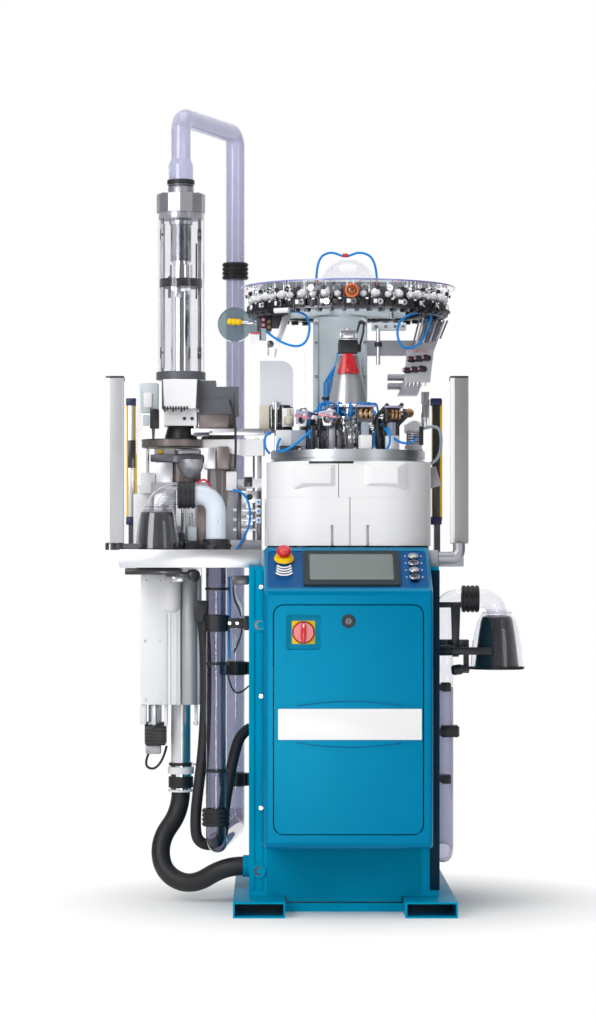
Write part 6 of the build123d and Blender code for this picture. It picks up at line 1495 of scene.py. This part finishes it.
def transfer_trim():
    """Blocks, bars and posts between the toe unit and the bed."""
    made = Assembly("transfer_trim", slot="rack_zinc")
    made.box(WHITE, (-352, -321), (20, 80), (1184, 1240), 3)
    made.box(SATIN_BLACK, (-300, -276), (14, 17), (1196, 1224), 1.5)
    made.box(PLATE_ALUMINIUM, (-312, -256), (10, 17), (1148, 1184), 1.5)
    made.turned(SATIN_BLACK, ((0, 0), (9, 0), (9, 1), (0, 1)), (-284, 10, 1166), TO_FRONT, 24)
    for x in (-322, -264):
        made.box(DARK_STEEL, (x, x + 14), (4, 17), (1040, 1184), 1.5)
    for z in (1128, 1100, 1072):
        made.box(PLATE_ALUMINIUM, (-330, -250), (6, 14), (z - 5, z + 5), 1.5)
        made.rod(STEEL, (-326, 6, z), (-326, -2, z), 5, None, 16)
    made.box(CAST, (-338, -250), (0, 60), (TABLE_TOP, 1042), 3)
    for step in range(3):
        made.box(WHITE, (-265, -252), (-6, 5), (1090 + 26 * step, 1108 + 26 * step), 2)
        made.turned(AIR_BLUE, ((0, 0), (4, 0), (4, 8), (0, 8)), (-258, -6, 1099 + 26 * step), TO_FRONT, 14)
    made.done()


# Table, light barrier and the housing under the table


def barrier_trim():
    """Faces, caps and feet of the mirror posts and light curtains."""
    made = Assembly("barrier_trim", slot="bare_aluminium")
    post = (1032, 1496)
    # The right post's face takes the darker copy of the post silver: painted shade
    for x, face in ((-662, POST_SILVER), (308, POST_PAINTED_SHADE)):
        made.box(SATIN_BLACK, (x - 26, x + 26), (-212, -160), (1496, 1502), 2)
        made.box(face, (x - 25, x + 25), (-214.4, -213), post, 0.6)
        # A white strip down each post's left edge: painted highlight on its bevel
        made.box(FILM, (x - 26, x - 13), (-215.4, -213.5), post, 1)
        made.box(face, (x + 22, x + 25.5), (-215.4, -213.5), post, 1)
    for x in (-684, -664, -646):
        made.box(BLACK, (x - 5, x + 5), (-206, -190), (1012, 1032), 2)
    for x, face, wide in ((-634, ALUMINIUM, 9), (266, SATIN_BLACK, 11)):
        made.box(face, (x - wide, x + wide), (198, 200), (1112, 1440), 0.6)
        for low, high in ((1440, 1462), (1088, 1112)):
            made.box(NAVY, (x - 16.5, x + 16.5), (196.5, 233), (low, high), 3)
    made.box(SATIN_BLACK, (-645, -623), (197.4, 199), (1256, 1338), 0.6)
    made.box(CHROME, (222, 247), (214, 222), (1370, 1482), 2)
    made.plate(CAST, rounded_outline(34, 60, 4), 5,
               turned_frame((256, 190, 1228), (1, 0, 0.3), (-0.3, 0, 1)), 1.5)
    made.pipe(CAST, ((249, -226, 990), (306, -226, 990), (306, -226, 1031)), 22, 17, sides=28)
    made.done()


def table_trim():
    """Rails, blocks and rods on and under the side table."""
    made = Assembly("table_trim", slot="bare_aluminium")
    made.box(DARK_STEEL, (-332, -286), (-190, 250), (914, 938.5), 2)
    made.box(PLATE_ALUMINIUM, (-648, -250), (-219, -216), (962, 1013), 1)
    made.box(SATIN_BLACK, (-634, -474), (-206, -196), (942, 961), 4)
    made.box(SATIN_BLACK, (-520, -448), (-204, -192), (936, 950), 4)
    made.turned(SATIN_BLACK, ((0, 0), (12, 0), (18, 6), (18, 16), (12, 24), (0, 26)), (-440, -186, 936),
                (0, -1, 0.3))
    made.box(STEEL, (-500, -470), (-200, -190), (922, 938), 2)
    made.box(WHITE, (-622, -566), (56, 64), (1020, 1176), 4)
    made.box(CAST, (-612, -560), (60, 170), (TABLE_TOP, 1200), 4)
    made.box(PLATE_ALUMINIUM, (-560, -500), (-12, -6), (1030, 1176), 2)
    made.box(WHITE, (-498, -440), (-16, -8), (1080, 1186), 2)
    made.box(DARK_STEEL, (-500, -496), (-17, -6), (1020, 1186), 1)
    made.rod(CHROME, (-474, -34, TABLE_TOP), (-474, -34, 1160), 7)
    made.rod(STEEL, (-452, -30, TABLE_TOP), (-452, -30, 1120), 5)
    made.box(SATIN_BLACK, (-492, -470), (-60, -24), (TABLE_TOP, 1062), 3)
    made.box(SATIN_BLACK, (-470, -432), (-66, -20), (TABLE_TOP, 1038), 3)
    made.box(MAST_GREY, (-462, -436), (-44, -20), (1038, 1080), 3)
    made.box(TAUPE, (-434, -404), (-20, 20), (TABLE_TOP, 1196), 2)
    made.pipe(RED, ((-436, -20, 1204), (-414, -24, 1218), (-396, -20, 1196)), 9, 3, sides=12)
    made.done()


def lower_unit_trim():
    """Panel seams, motor, clamps and hose collar under the table."""
    made = Assembly("lower_unit_trim", slot="white_cover")
    panel = (567, 938)
    made.box(FILM, (-597, -522), (-24, -20), panel, 1.5)
    made.box(WHITE, (-521, -483), (-23, -20), panel, 1)
    for x in (-523, -512, -494):
        made.box(MAST_GREY, (x, x + 1.6), (-25, -20), (567, 830), 0.4)
    made.turned(POST_SILVER, ((0, 0), (25, 0), (26, 2), (26, 370), (25, 372), (0, 372)),
                (-457, -4, 567), sides=48)
    made.box(CAST, (-437, -424), (-16, 30), panel, 2)
    made.turned(WHITE, ((0, 0), (12, 2), (21, 9), (25, 20), (25, 94), (21, 105), (12, 112), (0, 114)),
                (-507, -22, 832))
    made.box(WHITE, (-599, -582), (-18, 30), (510, 566), 2)
    made.turned(ALUMINIUM, ((0, 0), (15, 0), (16, 2), (16, 58), (0, 60)), (-560, 10, 506))
    made.box(BLACK, (-585, -526), (-14, 60), (449, 505), 4)
    for step in range(5):
        made.box(SATIN_BLACK, (-586, -525), (-15.5, -13), (455 + 10 * step, 459 + 10 * step), 0.8)
    made.box(CAST, (-584, -540), (-6, 30), (424, 449), 3)
    made.box(WHITE, (-530, -520), (-10, 20), (505, 566), 2)
    made.box(WHITE, (-444, -434), (0, 24), (506, 566), 2)
    made.rod(STEEL, (-446, 10, 512), (-432, 10, 512), 5, None, 14)
    for radius, low, high, finish in ((35, 386, 396, BLACK), (38, 362, 384, WHITE), (36, 322, 356, RUBBER),
                                      (38, 310, 318, WHITE)):
        made.turned(finish, ((31.2, 0), (radius, 1.5), (radius, high - low - 1.5), (31.2, high - low)),
                    (*TOE_AXIS, low))
    made.box(WHITE, (-448, -432), (40, 52), (309, 319), 2)
    made.rod(STEEL, (-452, 46, 391), (-424, 46, 391), 3, None, 10)
    made.done()
    places = [((x, -23, z), TO_FRONT) for x in (-584, -544) for z in (580, 750, 925)]
    screws("lower_unit_screws", 4, 3, places)


def bell_bracket_trim():
    """Bracket, cylinder and clips at the right bell and its tube."""
    made = Assembly("bell_bracket_trim", slot="motor_black")
    made.box(BLACK, (258, 332), (20, 40), (846, 862), 3)
    made.plate(BLACK, ((-9, 0), (9, 0), (14, 154), (-14, 154)), 12, front(312, 26, 704), 2)
    made.turned(BLACK, ((0, 0), (13, 0), (15, 4), (15, 58), (12, 62), (0, 62)), (264, 10, 722),
                (1, 0, 0.03), 28)
    made.turned(BLACK, ((0, 0), (19, 0), (20, 3), (20, 13), (0, 15)), (318, 10, 730), (1, 0, 0.03), 28)
    made.box(BLACK, (296, 414), (-33, -22), (711, 733), 3)
    made.rod(BLACK, (322, -28, 722), (322, 12, 722), 7)
    made.turned(BLACK, ((0, 0), (10, 0), (15, 6), (15, 26), (11, 36), (8, 52), (0, 54)), (300, 20, 664),
                (1, 0, 0.14), 28)
    for z, reach in ((610, 300), (478, 322), (343, 300)):
        made.box(BLACK, (272, reach), (28, 92), (z - 8, z + (26 if reach > 310 else 18)), 4)
    for step in range(4):
        made.box(SATIN_BLACK, (318, 324.5), (30, 90), (474 + 7 * step, 478 + 7 * step), 1)
    made.done()


# Air tubes and hoses


def air_tubes():
    """Blue air tubes, the hoses of the cabinet and the valves, cables and wires."""
    blue = {
        "transfer_air_tube": ((-332, 2, 1186), (-300, -4, 1182), (-280, -6, 1130), (-286, -6, 1066),
                              (-322, -4, 1014)),
        "left_ring_loop": ((-172, -168, 1686), (-128, -172, 1690), (-108, -166, 1640), (-130, -150, 1584),
                           (-200, -96, 1604), (-240, -70, 1642)),
        "right_ring_loop": ((196, -148, 1686), (146, -152, 1676), (132, -146, 1620), (158, -130, 1576),
                            (222, -104, 1610), (236, -98, 1684)),
        "dome_arch": ((-93, -95, 1780), (-92, -95, 1842), (-52, -95, 1866), (-10, -95, 1846),
                      (32, -95, 1866), (78, -95, 1842), (80, -95, 1780)),
        "selector_tube": ((-196, -92, 1330), (-214, -120, 1290), (-176, -160, 1296), (-140, -160, 1320),
                          (-108, -150, 1352)),
        "left_bed_loop": ((-222, -40, 1350), (-240, -60, 1346), (-240, -64, 1300), (-226, -50, 1290)),
        "right_bed_loop": ((70, -150, 1330), (66, -186, 1292), (96, -196, 1284), (120, -180, 1320),
                           (108, -150, 1360)),
        "valve_tube": ((192, -46, 1334), (200, -96, 1330), (160, -150, 1310), (120, -150, 1330),
                       (90, -128, 1370)),
        "dial_tube_left": ((-40, -40, 1412), (-92, -70, 1420), (-120, -96, 1380), (-110, -110, 1330)),
        "dial_tube_right": ((34, -46, 1410), (70, -80, 1424), (84, -110, 1376), (70, -120, 1330)),
        "drop_air_tube": ((-342, -98, 936), (-338, -100, 860), (-344, -98, 780), (-340, -96, 700)),
    }
    for name, points in blue.items():
        cord(name, points, AIR_TUBE_RADIUS, AIR_BLUE)
    valve = ((214, 10, 1362), (262, 4, 1380), (272, 0, 1320), (258, 0, 1268), (236, 2, 1262))
    cord("valve_hose", valve, VALVE_HOSE_RADIUS, BOX_GREY)
    cabinet = ((-283, 60, 495), (-312, 50, 480), (-332, 26, 410), (-350, -8, 310), (-360, -30, 240),
               (-360, -36, 204), (-367, -42, 181), (-387, -48, 167), (-411, -54, 167), (-431, -60, 181),
               (-438, -64, 204), (-438, -66, 260), (-430, -66, 330), (-414, -66, 460), (-408, -68, 620),
               (-412, -74, 770), (-420, -84, 822))
    cord("cabinet_hose", cabinet, CABINET_HOSE_RADIUS, RUBBER)
    motor = ((-575, 0, 426), (-590, 2, 392), (-560, 6, 376), (-532, 10, 410), (-524, 20, 446))
    cord("motor_cable", motor, CABLE_RADIUS, BLACK)
    wires = (("white_wire", WHITE, -336, 12), ("grey_wire", MAST_GREY, -332, 4),
             ("black_wire", BLACK, -328, -6))
    for name, finish, x, sway in wires:
        wire = ((x, -80, 936), (x + sway, -84, 880), (x + 26 + sway, -86, 838), (x + 20 - sway, -86, 770),
                (x, -86, 720))
        cord(name, wire, WIRE_RADIUS, finish)
    sensor = ((-346, -92, 660), (-336, -90, 610), (-308, -60, 600), (-286, -40, 622))
    cord("sensor_wire", sensor, WIRE_RADIUS, BLACK)
    toe_box = ((-341, 4, 1445), (-330, -16, 1410), (-322, -14, 1330), (-326, 4, 1250))
    cord("toe_box_cable", toe_box, CABLE_RADIUS, BLACK)


def build():
    for make in (studio, sock_hose, air_tubes, dress_cad, return_tube, drop_tube, side_tube, coupling_ribs,
                 bells, cabinet_trim, door_trim, switch_knob, lock_barrel, desk_trim, stop_mushroom, key_caps,
                 yarn_ring_trim, disc_and_dome, ring_arms, finger_magazine_trim, dial_head_trim, mast_trim,
                 needle_rings, finger_units, bed_drives, skirt_trim, toe_trim, sock_tube_clamp, toe_box_trim,
                 pickup_trim, toe_screws, transfer_trim, barrier_trim, table_trim, lower_unit_trim,
                 bell_bracket_trim):
        make()


build()
